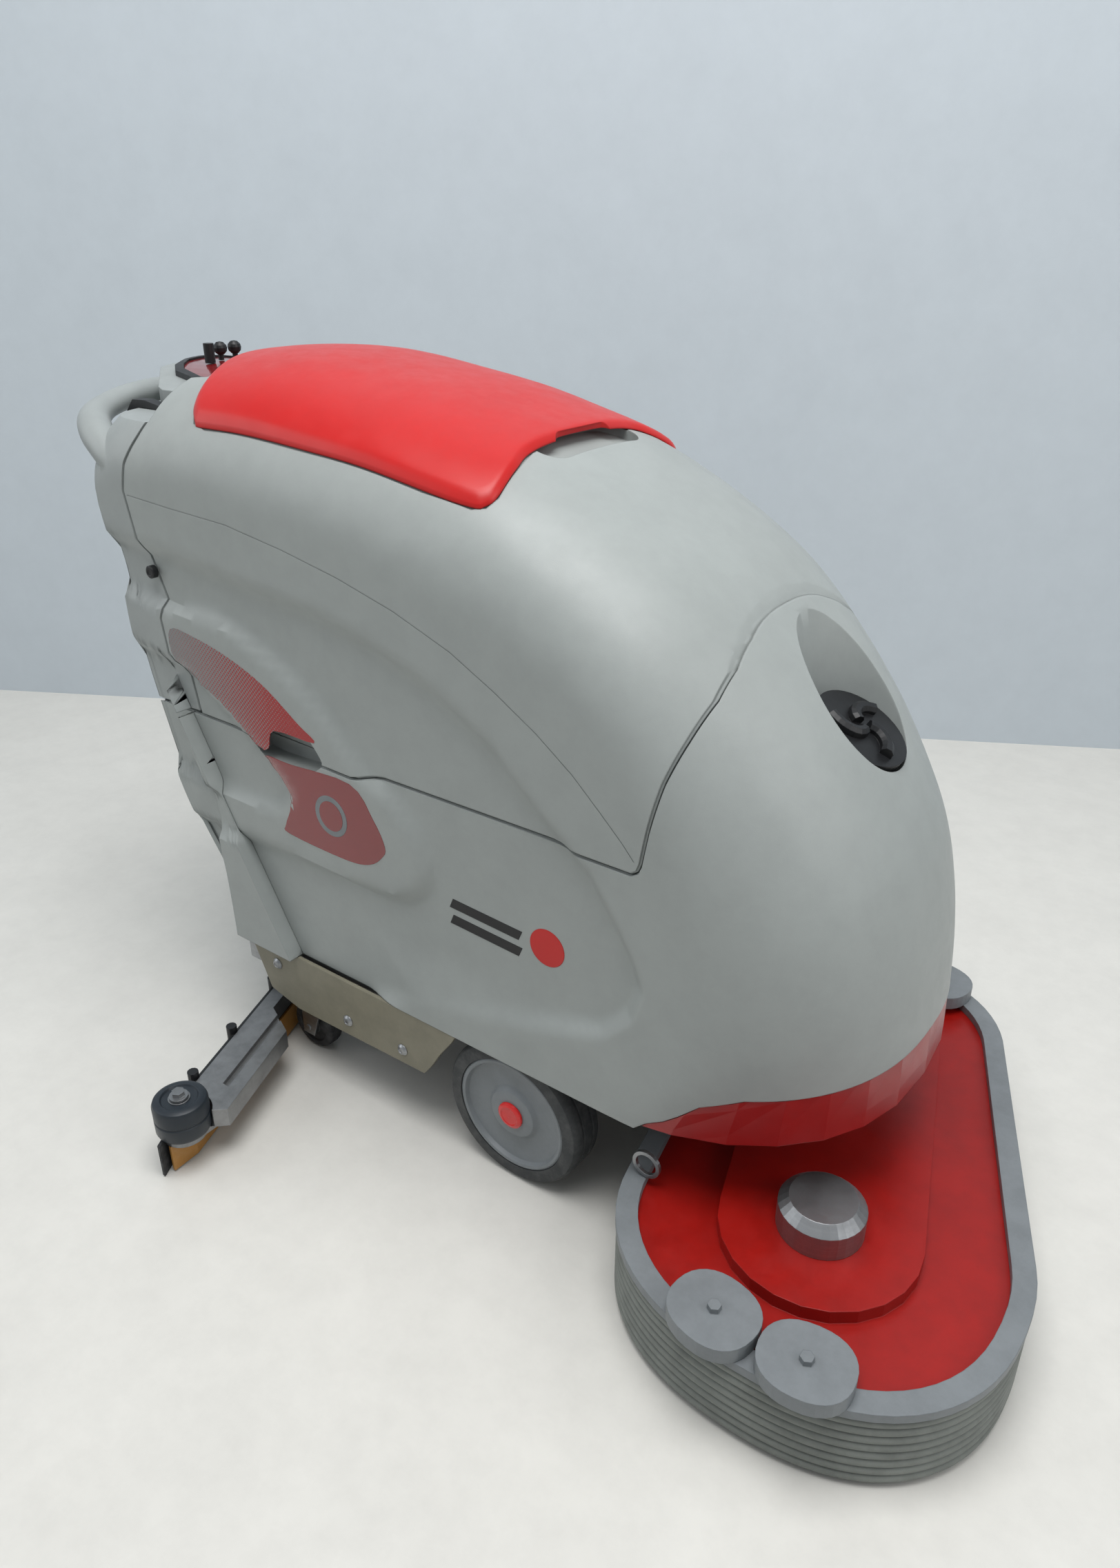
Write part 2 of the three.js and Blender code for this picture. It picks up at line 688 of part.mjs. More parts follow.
// The clamp strip behind the rear blade, with the thumb clips that hold it.
function clampStrip() {
  const strip = sweptStrip([[0, 0, 7], [squeegeeHalfSpan - 46, 0, 7]], 54.5, 80);
  const clips = [90, 210, 330, 430].flatMap((y) => [-1, 1].map((side) =>
    join(cylinder(8, 60, 92, [sweepX(y) - 3, side * y, 0], Z, 12),
      box(sweepX(y) - 6, sweepX(y) + 3, side * y - 5, side * y + 5, 58, 78))));
  return join(strip, ...clips);
}

function sideRoller(side) {
  return turned([[6.4, 55], [rollerRadius - 2, 55], [rollerRadius, 58], [rollerRadius, 108],
    [rollerRadius - 3, 111], [14, 111], [14, 107], [6.4, 107], [6.4, 55]],
  [rollerX, side * rollerY, 0], Z, 28);
}

function rollerBolt(side) {
  const centre = [rollerX, side * rollerY, 0];
  return join(cylinder(6, 54.9, 112, centre, Z, 16), cylinder(13, 111.4, 114, centre, Z, 24),
    cylinder(9, 113.9, 121, centre, Z, 6));
}

function squeegeeArm() {
  const tube = box(-560, armPivotX + 12, -20, 20, 122, 152);
  const cross = upright(roundedRectangle(-592, -548, -195, 195, 6), 98, 150);
  const hollow = box(-586, -554, -189, 189, 90, 144);
  const drop = cylinder(14, 94, 150, [-564, 0, 0], Z, 20);
  return join(cut(cross, hollow), tube, drop);
}

function suctionNozzle() {
  const stub = turned([[15, 93.4], [20, 93.4], [20, 128], [18, 132], [15, 132], [15, 93.4]],
    [-512, 50, 0], Z, 24);
  return stub;
}

// ---------------------------------------------------------------- upper body

// Plan outline of the lid: bowed at the rear, square with rounded corners at the front.
function lidFootprint(grow = 0) {
  const half = [[-596, 0], [-590, 50], [-574, 100], [-548, 156], [-526, 200], [-506, 221],
    [-480, 225], [-330, 220], [-130, 212], [-64, 206], [-49, 198], [-44, 182], [-52, 140],
    [-60, 100], [-60, 0]];
  const middle = -320;
  const grown = half.map(([x, y]) => [x + Math.sign(x - middle) * grow, y && y + grow]);
  return [...grown, ...grown.slice(1, -1).map(([x, y]) => [x, -y]).reverse()];
}

// The space between the shoulders that holds the dash console, open to the rear.
function operatorBay() {
  return join(
    box(-1000, bayFront, -bayHalfWidth, bayHalfWidth, bayFloor, 1200),
    box(-1000, -599, -300, 300, shoulderTop, 1200));
}

function motorAlcove() {
  return box(-662, -492, -95, 95, 690, 876);
}

function recoveryTank() {
  const shell = common(outer, sideCut(aboveSeam), sideCut(aheadOfColumn));
  const hollow = common(inner, sideCut([[-478, 572], [172, 572], [190, 640], [214, 722],
    [232, 790], [240, 1100], [-478, 1100]]));
  const mouth = upright(roundedRectangle(-470, -130, -150, 150, 40), 880, 1100);
  const lidSeat = upright(lidFootprint(1.2), 880, 1100);
  const seat = cut(common(outer, lidSeat), bodyForm(-1.8));
  const scoop = cut(upright(roundedRectangle(-92, -38, -94, 94, 20), 880, 1100), bodyForm(-14));
  return cut(shell, hollow, mouth, seat, scoop, operatorBay(), motorAlcove(),
    ...handPockets(540, 588));
}

function lid() {
  const sheet = cut(common(bodyForm(lidThickness), upright(lidFootprint(), 880, 1100)),
    bodyForm(0.3));
  const notch = upright(roundedRectangle(-86, -20, -96, 96, 20), 880, 1100);
  const underside = bodyForm(lidThickness - 3);
  return cut(sheet, common(notch, underside));
}

function lidGasket() {
  const ringOutline = (inset) => upright(
    roundedRectangle(-469.6 + inset, -130.4 - inset, -149.6 + inset, 149.6 - inset, 39.6 - inset),
    940, 1100);
  return cut(common(bodyForm(-2), ringOutline(0)), ringOutline(8), bodyForm(-12));
}

// The rear column with both shoulders, the bow-shaped grip and the plate that joins the
// middle of the grip to the column, moulded as one piece.
function rearColumn() {
  const shell = cut(common(outer, sideCut(column)), operatorBay(), motorAlcove());
  const half = [[-694, 222, 902], [-734, 216, 921], [-776, 188, 938], [-805, 140, 950],
    [-825, 76, 957]];
  const bow = [...half.map(([x, y, z]) => [x, -y, z]), [-832, 0, 960], ...[...half].reverse()];
  const bridge = box(-822, -700, -74, 74, bayFloor - 18, bayFloor);
  return join(shell, swept(bow, 19, 17, 40, 12), bridge);
}

// Height of the console's arched top at a distance from the centre plane.
const consoleTop = (y) => consoleCrown - consoleDrop * (y / consoleHalf) ** 2;

// A band that follows the console's arch, between two heights above it.
function archBand(low, high, rear, front) {
  const steps = Array.from({ length: 17 }, (_, i) => consoleHalf * (i / 8 - 1));
  const top = steps.map((y) => [y, consoleTop(y) + high]);
  const bottom = steps.map((y) => [y, consoleTop(y) + low]).reverse();
  return along([...top.reverse(), ...bottom.reverse()], rear, front);
}

function consoleOutline(inset = 0) {
  const half = [[consoleRear + inset, 0], [consoleRear + inset, 58 - inset],
    [consoleRear + 22 + inset, 76 - inset], [-716, consoleHalf - 6 - inset],
    [-700, consoleHalf - inset], [bayFront - 10 - inset, consoleHalf - inset],
    [bayFront - 2 - inset, consoleHalf - 8 - inset], [bayFront - 2 - inset, 0]];
  return [...half, ...half.slice(1, -1).map(([x, y]) => [x, -y]).reverse()];
}

function dashConsole() {
  const low = bayFloor + clearance;
  const arch = archBand(low - consoleCrown + consoleDrop, 0, consoleRear, bayFront);
  const foot = box(consoleRear, bayFront, -consoleHalf, consoleHalf, low, 960);
  return common(join(arch, foot), upright(consoleOutline(), low, 1100));
}

// Plan outline of the control panel: a bowed rear edge and a straight front edge.
function panelOutline(inset = 0) {
  const half = [[-770 + inset, 0], [-764 + inset, 34], [-746 + inset, 66 - inset],
    [-722 + inset, 84 - inset], [-650, 104 - inset], [-612 - inset, 104 - inset],
    [-612 - inset, 0]];
  return [...half, ...half.slice(1, -1).map(([x, y]) => [x, -y]).reverse()];
}

function panelGasket() {
  return cut(common(archBand(0.3, 8, -800, -600), upright(panelOutline(), 900, 1100)),
    upright(panelOutline(9), 900, 1100));
}

function panelFilm() {
  return common(archBand(0.3, 5, -800, -600), upright(panelOutline(9.4), 900, 1100));
}

// The lowest height at which a round control of a given radius clears the curved panel.
const seatHeight = (y, radius) => consoleTop(Math.max(0, Math.abs(y) - radius)) + 5.3;

function ballKnob(x, y) {
  const base = [x, y, seatHeight(y, 4)];
  const ball = turned([[0, 7], [5, 8], [9, 12], [10, 17], [9, 21], [5, 25], [0, 26]], base, Z, 18);
  return join(ball, cylinder(4, 0.2, 10, base, Z, 12));
}

function keySwitch() {
  return cylinder(7.5, 0.2, 27, [-702, -36, seatHeight(-36, 7.5)], Z, 18);
}

// The lever behind the grip that starts the drive, with a bent arm on each side.
function tractionLever() {
  const arm = [[-588, 943], [-580, 950], [-588, 958], [-604, 958], [-640, 972], [-668, 955],
    [-716, 963], [-744, 962], [-760, 946], [-774, 908], [-758, 902], [-748, 938], [-736, 951],
    [-716, 952], [-664, 944], [-638, 961], [-606, 947]];
  const arms = [-1, 1].map((side) => {
    const [a, b] = [side * 130, side * 147].sort((p, q) => p - q);
    return across(arm, a, b);
  });
  return join(rod([-764, -147, 906], [-764, 147, 906], 8, 14), ...arms);
}

function vacuumMotor() {
  return turned([[0, 692], [72, 692], [72, 760], [60, 768], [60, 840], [0, 840]], [-577, 0, 0],
    Z, 28);
}

function floatBasket() {
  const profile = [[0, 850], [34, 850], [34, 940], [30, 940], [30, 854], [0, 854]];
  const pipe = cylinder(16, -477.4, -431, [0, 0, 895], X, 20);
  return join(turned(profile, [-400, 0, 0], Z, 24), pipe);
}

// ---------------------------------------------------------------- assembly

const machine = new THREE.Group();

function add(name, solid, finish) {
  const mesh = new THREE.Mesh(toGeometry(solid), finish);
  mesh.name = name;
  machine.add(mesh);
}

add('solution_tank', solutionTank(), finishes.shell);
add('nose_bumper', noseBumper(), finishes.trimRed);
add('filler_neck', fillerNeck(), finishes.black);
add('filler_cap', fillerCap(), finishes.black);
add('chassis_frame', chassisFrame(), finishes.steel);
add('battery_rear', batteryBlock(-440), finishes.battery);
add('battery_front', batteryBlock(-160), finishes.battery);
add('drive_unit', driveUnit(), finishes.steel);
add('recovery_tank', recoveryTank(), finishes.shell);
add('rear_column', rearColumn(), finishes.column);
add('lid', lid(), finishes.red);
add('lid_gasket', lidGasket(), finishes.rubber);
add('float_basket', floatBasket(), finishes.black);
add('vacuum_motor', vacuumMotor(), finishes.black);
add('dash_console', dashConsole(), finishes.column);
add('panel_gasket', panelGasket(), finishes.black);
add('panel_film', panelFilm(), finishes.film);
add('water_knob', ballKnob(-712, -8), finishes.black);
add('pressure_knob', ballKnob(-712, 18), finishes.black);
add('key_switch', keySwitch(), finishes.black);
add('traction_lever', tractionLever(), finishes.black);

for (const [hand, side] of [['right', -1], ['left', 1]]) {
  const wheel = wheelParts(side);
  add(`side_panel_${hand}`, sidePanel(side), finishes.panelGrey);
  add(`drive_tyre_${hand}`, wheel.tyre, finishes.tyre);
  add(`drive_rim_${hand}`, wheel.rim, finishes.rimGrey);
  add(`hub_cap_${hand}`, wheel.cap, finishes.red);
  add(`castor_fork_${hand}`, castorFork(side), finishes.steel);
  add(`castor_wheel_${hand}`, castorWheel(side), finishes.rubber);
  add(`side_roller_${hand}`, sideRoller(side), finishes.roller);
  add(`roller_bolt_${hand}`, rollerBolt(side), finishes.steel);
}

add('deck_cover', deckCover(), finishes.deckRed);
add('deck_rim', deckRim(), finishes.rimGrey);
add('deck_skirt', skirt(), finishes.skirtGrey);
add('brush_motor_right', brushMotor(rightDiscX, -discY), finishes.steel);
add('brush_motor_left', brushMotor(leftDiscX, discY), finishes.steel);
add('brush_right', brush(rightDiscX, -discY), finishes.bristle);
add('brush_left', brush(leftDiscX, discY), finishes.bristle);
add('bail_ring', bailRing(), finishes.steel);
add('bumper_pad_right_1', bumperPad(381, -367, -10), finishes.rimGrey);
add('bumper_pad_right_2', bumperPad(488, -365, 8), finishes.rimGrey);
add('bumper_pad_left_1', bumperPad(262, 366, 10), finishes.rimGrey);
add('bumper_pad_left_2', bumperPad(366, 358, -12), finishes.rimGrey);
add('lift_arm_right', liftArm(-60), finishes.steel);
add('lift_arm_left', liftArm(50), finishes.steel);

add('squeegee_arm', squeegeeArm(), finishes.steel);
add('squeegee_body', squeegeeBody(), finishes.cast);
add('rear_blade', rearBlade(), finishes.rubber);
add('front_blade', frontBlade(), finishes.amber);
add('clamp_strip', clampStrip(), finishes.black);
add('suction_nozzle', suctionNozzle(), finishes.black);

const extent = new THREE.Box3().setFromObject(machine);
const middle = extent.getCenter(new THREE.Vector3());
machine.position.set(-middle.x, -middle.y, -extent.min.z);

export default machine;
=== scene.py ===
import json
import math

import bpy
import numpy as np
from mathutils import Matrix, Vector
from mathutils.bvhtree import BVHTree


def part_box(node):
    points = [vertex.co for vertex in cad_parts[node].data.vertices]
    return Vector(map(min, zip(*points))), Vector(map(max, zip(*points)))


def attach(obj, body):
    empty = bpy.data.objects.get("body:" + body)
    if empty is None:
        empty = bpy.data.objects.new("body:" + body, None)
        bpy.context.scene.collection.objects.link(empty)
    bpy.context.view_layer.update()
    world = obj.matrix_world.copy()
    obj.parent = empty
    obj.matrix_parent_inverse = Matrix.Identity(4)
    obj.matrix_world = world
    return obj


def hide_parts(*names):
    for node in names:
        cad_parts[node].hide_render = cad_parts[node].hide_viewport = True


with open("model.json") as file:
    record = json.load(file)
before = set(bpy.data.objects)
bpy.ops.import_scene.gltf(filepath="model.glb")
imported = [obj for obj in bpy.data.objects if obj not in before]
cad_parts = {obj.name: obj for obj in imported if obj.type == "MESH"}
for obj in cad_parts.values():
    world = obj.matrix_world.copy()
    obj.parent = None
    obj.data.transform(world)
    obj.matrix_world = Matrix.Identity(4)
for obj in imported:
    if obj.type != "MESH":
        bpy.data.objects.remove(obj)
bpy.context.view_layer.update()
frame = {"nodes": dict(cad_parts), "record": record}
nodes = frame["nodes"]

# Lengths are written in millimetres from the drive axle, the centre plane and the floor.
tyre_low, tyre_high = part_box("drive_tyre_right")
AXLE = (tyre_low.x + tyre_high.x) / 2
HALF_WIDTH = 250
BASE = 203


# ------------------------------------------------------------------ meshes

def metres(points):
    points = np.asarray(points, float) / 1000
    return points + np.array([AXLE, 0, 0])


def mesh_object(name, points, faces, angle=35):
    mesh = bpy.data.meshes.new(name)
    mesh.from_pydata([tuple(p) for p in metres(points)], [], [tuple(f) for f in faces])
    mesh.validate()
    obj = bpy.data.objects.new(name, mesh)
    bpy.context.scene.collection.objects.link(obj)
    outward(obj)
    smooth(obj, angle)
    return obj


def outward(obj):
    """Turns the faces round when the closed mesh is inside out."""
    mesh = obj.data
    mesh.calc_loop_triangles()
    co = np.array([v.co for v in mesh.vertices]).reshape(-1, 3)
    tri = np.array([t.vertices for t in mesh.loop_triangles]).reshape(-1, 3)
    a, b, c = co[tri[:, 0]], co[tri[:, 1]], co[tri[:, 2]]
    if (a * np.cross(b, c)).sum() < 0:
        mesh.flip_normals()


def smooth(obj, angle=35):
    mesh = obj.data
    mesh.shade_smooth()
    mesh.set_sharp_from_angle(angle=math.radians(angle))


def grid_faces(rows, columns, closed=True, caps=True):
    faces = []
    span = columns if closed else columns - 1
    for r in range(rows - 1):
        for i in range(span):
            j = (i + 1) % columns
            low, high = r * columns, (r + 1) * columns
            faces.append((low + i, low + j, high + j, high + i))
    if caps:
        faces.append(tuple(range(columns - 1, -1, -1)))
        faces.append(tuple((rows - 1) * columns + i for i in range(columns)))
    return faces


def rings_object(name, rings, angle=35, caps=True):
    rings = np.asarray(rings, float)
    return mesh_object(name, rings.reshape(-1, 3), grid_faces(len(rings), rings.shape[1], True,
                                                              caps), angle)


def prism(name, points, low, high, axis, angle=35):
    """An outline pushed between two positions along an axis. The outline's two
    coordinates are the other axes in x, y, z order."""
    points = np.asarray(points, float)
    others = [i for i in range(3) if i != axis]
    rings = np.zeros((2, len(points), 3))
    rings[:, :, others[0]] = points[:, 0]
    rings[:, :, others[1]] = points[:, 1]
    rings[0, :, axis] = low
    rings[1, :, axis] = high
    return rings_object(name, rings, angle)


def block(name, x0, x1, y0, y1, z0, z1):
    return prism(name, [(x0, y0), (x1, y0), (x1, y1), (x0, y1)], z0, z1, 2)


def circle(cx, cy, radius, sides):
    turns = np.linspace(0, 2 * math.pi, sides, endpoint=False)
    return np.stack([cx + radius * np.cos(turns), cy + radius * np.sin(turns)], 1)


def rounded(x0, x1, y0, y1, radius, steps=6):
    points = []
    centres = [(x1 - radius, y1 - radius), (x0 + radius, y1 - radius),
               (x0 + radius, y0 + radius), (x1 - radius, y0 + radius)]
    for quarter, (cx, cy) in enumerate(centres):
        for i in range(steps + 1):
            turn = (quarter + i / steps) * math.pi / 2
            points.append((cx + radius * math.cos(turn), cy + radius * math.sin(turn)))
    return points


def lathe(name, profile, centre, axis=(0, 0, 1), sides=64, angle=35):
    """A solid turned from [radius, height] points about an axis. A profile that
    starts and ends on the axis is closed; any other is joined to its own start."""
    axis = np.asarray(axis, float) / np.linalg.norm(axis)
    helper = np.array([1.0, 0, 0]) if abs(axis[0]) < 0.9 else np.array([0, 1.0, 0])
    u = np.cross(axis, helper)
    u /= np.linalg.norm(u)
    v = np.cross(axis, u)
    turns = np.linspace(0, 2 * math.pi, sides, endpoint=False)
    ring = np.cos(turns)[:, None] * u + np.sin(turns)[:, None] * v
    points, faces = [], []
    index = []
    for radius, height in profile:
        middle = np.asarray(centre, float) + axis * height
        if radius < 1e-6:
            index.append([len(points)])
            points.append(middle)
        else:
            index.append(list(range(len(points), len(points) + sides)))
            points.extend(middle + ring * radius)
    pairs = list(zip(index, index[1:]))
    if len(index[0]) > 1:
        pairs.append((index[-1], index[0]))
    for a, b in pairs:
        for i in range(sides):
            j = (i + 1) % sides
            if len(a) == 1 and len(b) == 1:
                continue
            if len(a) == 1:
                faces.append((a[0], b[j], b[i]))
            elif len(b) == 1:
                faces.append((a[i], a[j], b[0]))
            else:
                faces.append((a[i], a[j], b[j], b[i]))
    return mesh_object(name, points, faces, angle)


def smooth_path(points, steps, closed=False):
    """Points spaced along a smooth curve through the given ones."""
    points = np.asarray(points, float)
    if closed:
        padded = np.vstack([points[-1:], points, points[:2]])
    else:
        padded = np.vstack([2 * points[:1] - points[1:2], points, 2 * points[-1:] - points[-2:-1]])
    out = []
    for i in range(1, len(padded) - 2):
        p0, p1, p2, p3 = padded[i - 1:i + 3]
        for s in np.linspace(0, 1, steps, endpoint=False):
            out.append(0.5 * (2 * p1 + (p2 - p0) * s + (2 * p0 - 5 * p1 + 4 * p2 - p3) * s ** 2
                              + (3 * p1 - p0 - 3 * p2 + p3) * s ** 3))
    if not closed:
        out.append(padded[-2])
    return np.array(out)


def sweep(name, path, half_width, half_height=None, sides=24, closed=False, angle=40, up=(0, 0, 1)):
    """A bar of elliptical section along a path. The sizes may be one number or one per point."""
    path = np.asarray(path, float)
    wide = np.broadcast_to(half_width, len(path))
    high = np.broadcast_to(half_width if half_height is None else half_height, len(path))
    if closed:
        tangents = np.roll(path, -1, 0) - np.roll(path, 1, 0)
    else:
        tangents = np.gradient(path, axis=0)
    tangents /= np.linalg.norm(tangents, axis=1)[:, None]
    side = np.cross(tangents, np.asarray(up, float))
    side /= np.linalg.norm(side, axis=1)[:, None]
    upright = np.cross(side, tangents)
    turns = np.linspace(0, 2 * math.pi, sides, endpoint=False)
    rings = (path[:, None] + np.cos(turns)[None, :, None] * side[:, None] * wide[:, None, None]
             + np.sin(turns)[None, :, None] * upright[:, None] * high[:, None, None])
    if closed:
        rings = np.concatenate([rings, rings[:1]])
        rows = len(rings) - 1
        faces = []
        for r in range(rows):
            for i in range(sides):
                j = (i + 1) % sides
                q = (r + 1) % rows
                faces.append((r * sides + i, r * sides + j, q * sides + j, q * sides + i))
        return mesh_object(name, rings[:-1].reshape(-1, 3), faces, angle)
    return rings_object(name, rings, angle)


def boolean(obj, cutter, operation, keep=False):
    modifier = obj.modifiers.new("boolean", "BOOLEAN")
    modifier.operation = operation
    modifier.object = cutter
    modifier.solver = "MANIFOLD"
    bpy.context.view_layer.update()
    graph = bpy.context.evaluated_depsgraph_get()
    mesh = bpy.data.meshes.new_from_object(obj.evaluated_get(graph))
    obj.modifiers.clear()
    obj.data = mesh
    if len(mesh.polygons) == 0:
        raise RuntimeError(f"nothing is left of {obj.name} after {operation} with {cutter.name}")
    if not keep:
        bpy.data.objects.remove(cutter)
    return obj


def cut(obj, *cutters):
    for cutter in cutters:
        boolean(obj, cutter, "DIFFERENCE")
    return obj


def common(obj, *cutters):
    for cutter in cutters:
        boolean(obj, cutter, "INTERSECT")
    return obj


def join(obj, *others):
    for other in others:
        boolean(obj, other, "UNION")
    return obj


def flipped_side(points):
    points = np.array(points, float)
    points[..., 1] *= -1
    return points


# ------------------------------------------------------------------ materials

def colour(red, green, blue):
    """A linear colour from the 0 to 255 values that a screen shows."""
    def linear(value):
        value /= 255
        return value / 12.92 if value <= 0.04045 else ((value + 0.055) / 1.055) ** 2.4
    return (linear(red), linear(green), linear(blue), 1)


class Nodes:
    """A material's node tree, with the few node kinds that this scene uses."""

    def __init__(self, name):
        self.material = bpy.data.materials.new(name)
        self.material.use_nodes = True
        self.tree = self.material.node_tree
        self.shader = self.tree.nodes["Principled BSDF"]
        self.place = self.tree.nodes.new("ShaderNodeTexCoord").outputs["Object"]

    def link(self, source, target):
        self.tree.links.new(source, target)

    def noise(self, scale, detail=3, roughness=0.5, stretch=None):
        node = self.tree.nodes.new("ShaderNodeTexNoise")
        node.inputs["Scale"].default_value = scale
        node.inputs["Detail"].default_value = detail
        node.inputs["Roughness"].default_value = roughness
        place = self.place
        if stretch is not None:
            place = self.stretched(stretch)
        self.link(place, node.inputs["Vector"])
        return node.outputs["Fac"]

    def stretched(self, scale, turn=(0, 0, 0)):
        node = self.tree.nodes.new("ShaderNodeMapping")
        node.inputs["Scale"].default_value = scale
        node.inputs["Rotation"].default_value = turn
        self.link(self.place, node.inputs["Vector"])
        return node.outputs["Vector"]

    def voronoi(self, scale, place=None, randomness=1.0):
        node = self.tree.nodes.new("ShaderNodeTexVoronoi")
        node.inputs["Scale"].default_value = scale
        node.inputs["Randomness"].default_value = randomness
        self.link(place or self.place, node.inputs["Vector"])
        return node.outputs["Distance"]

    def ramp(self, value, stops):
        node = self.tree.nodes.new("ShaderNodeValToRGB")
        ramp = node.color_ramp
        while len(ramp.elements) < len(stops):
            ramp.elements.new(0.5)
        for element, (position, tint) in zip(ramp.elements, stops):
            element.position = position
            element.color = tint if hasattr(tint, "__len__") else (tint, tint, tint, 1)
        self.link(value, node.inputs["Fac"])
        return node.outputs["Color"]

    def mix(self, factor, first, second, blend="MIX"):
        node = self.tree.nodes.new("ShaderNodeMix")
        node.data_type = "RGBA"
        node.blend_type = blend
        sockets = (node.inputs[0], node.inputs[6], node.inputs[7])
        for socket, value in zip(sockets, (factor, first, second)):
            if isinstance(value, bpy.types.NodeSocket):
                self.link(value, socket)
            else:
                socket.default_value = value
        return node.outputs[2]

    def maths(self, operation, *values):
        node = self.tree.nodes.new("ShaderNodeMath")
        node.operation = operation
        for socket, value in zip(node.inputs, values):
            if isinstance(value, bpy.types.NodeSocket):
                self.link(value, socket)
            else:
                socket.default_value = value
        return node.outputs[0]

    def bump(self, height, strength, distance, normal=None):
        node = self.tree.nodes.new("ShaderNodeBump")
        node.inputs["Strength"].default_value = strength
        node.inputs["Distance"].default_value = distance
        self.link(height, node.inputs["Height"])
        if normal is not None:
            self.link(normal, node.inputs["Normal"])
        return node.outputs["Normal"]

    def edge(self, radius):
        node = self.tree.nodes.new("ShaderNodeBevel")
        node.samples = 4
        node.inputs["Radius"].default_value = radius
        return node.outputs["Normal"]


def moulded(name, tint, roughness=0.5, grain=900, depth=0.00012, variation=0.06, edge=0.0015, dirt=0.1,
            coat=0.0, metallic=0.0, specular=0.4):
    """Moulded plastic, paint or cast metal: fine grain, mottling, uneven gloss and soft edges."""
    n = Nodes(name)
    dark = tuple(c * (1 - variation) for c in tint[:3]) + (1,)
    light = tuple(min(1, c * (1 + variation)) for c in tint[:3]) + (1,)
    mottle = n.ramp(n.noise(7, 5, 0.6), [(0.3, dark), (0.7, light)])
    smudge = n.ramp(n.noise(23, 6, 0.7), [(0.35, 1 - dirt), (0.6, 1.0)])
    n.link(n.mix(1.0, mottle, smudge, "MULTIPLY"), n.shader.inputs["Base Color"])
    least, most = max(0, roughness - 0.06), min(1, roughness + 0.07)
    gloss = n.ramp(n.noise(31, 4, 0.65), [(0.25, least), (0.75, most)])
    n.link(gloss, n.shader.inputs["Roughness"])
    grain_height = n.noise(grain, 2, 0.5)
    n.link(n.bump(grain_height, 0.35, depth, n.edge(edge)), n.shader.inputs["Normal"])
    n.shader.inputs["Coat Weight"].default_value = coat
    n.shader.inputs["Coat Roughness"].default_value = 0.15
    n.shader.inputs["Metallic"].default_value = metallic
    n.shader.inputs["Specular IOR Level"].default_value = specular
    return n.material


def brushed(name, tint, roughness=0.35, stretch=(4, 4, 260), edge=0.001):
    """Zinc plated or rolled steel, with a drawn grain and dull patches."""
    n = Nodes(name)
    streak = n.noise(1.0, 5, 0.6, stretch)
    patch = n.noise(19, 5, 0.7)
    dark = tuple(c * 0.72 for c in tint[:3]) + (1,)
    base = n.ramp(patch, [(0.3, dark), (0.65, tint)])
    drawn = n.ramp(streak, [(0.3, 0.3), (0.7, 0.9)])
    n.link(n.mix(0.25, base, drawn, "MULTIPLY"), n.shader.inputs["Base Color"])
    n.link(n.ramp(patch, [(0.3, roughness + 0.15), (0.7, roughness)]), n.shader.inputs["Roughness"])
    n.link(n.bump(streak, 0.15, 0.0002, n.edge(edge)), n.shader.inputs["Normal"])
    n.shader.inputs["Metallic"].default_value = 1.0
    return n.material


def rubber(name, tint, roughness=0.75, dust=(0.35, 0.35, 0.34, 1), amount=0.18):
    """Matt rubber with a dusty bloom and a fine pebbled skin."""
    n = Nodes(name)
    dusty = n.ramp(n.noise(40, 7, 0.75), [(0.45, 0.0), (0.75, amount)])
    n.link(n.mix(dusty, tint, dust), n.shader.inputs["Base Color"])
    gloss = n.ramp(n.noise(60, 4), [(0.3, roughness - 0.1), (0.7, roughness + 0.1)])
    n.link(gloss, n.shader.inputs["Roughness"])
    n.link(n.bump(n.voronoi(700), 0.25, 0.0002, n.edge(0.001)), n.shader.inputs["Normal"])
    return n.material


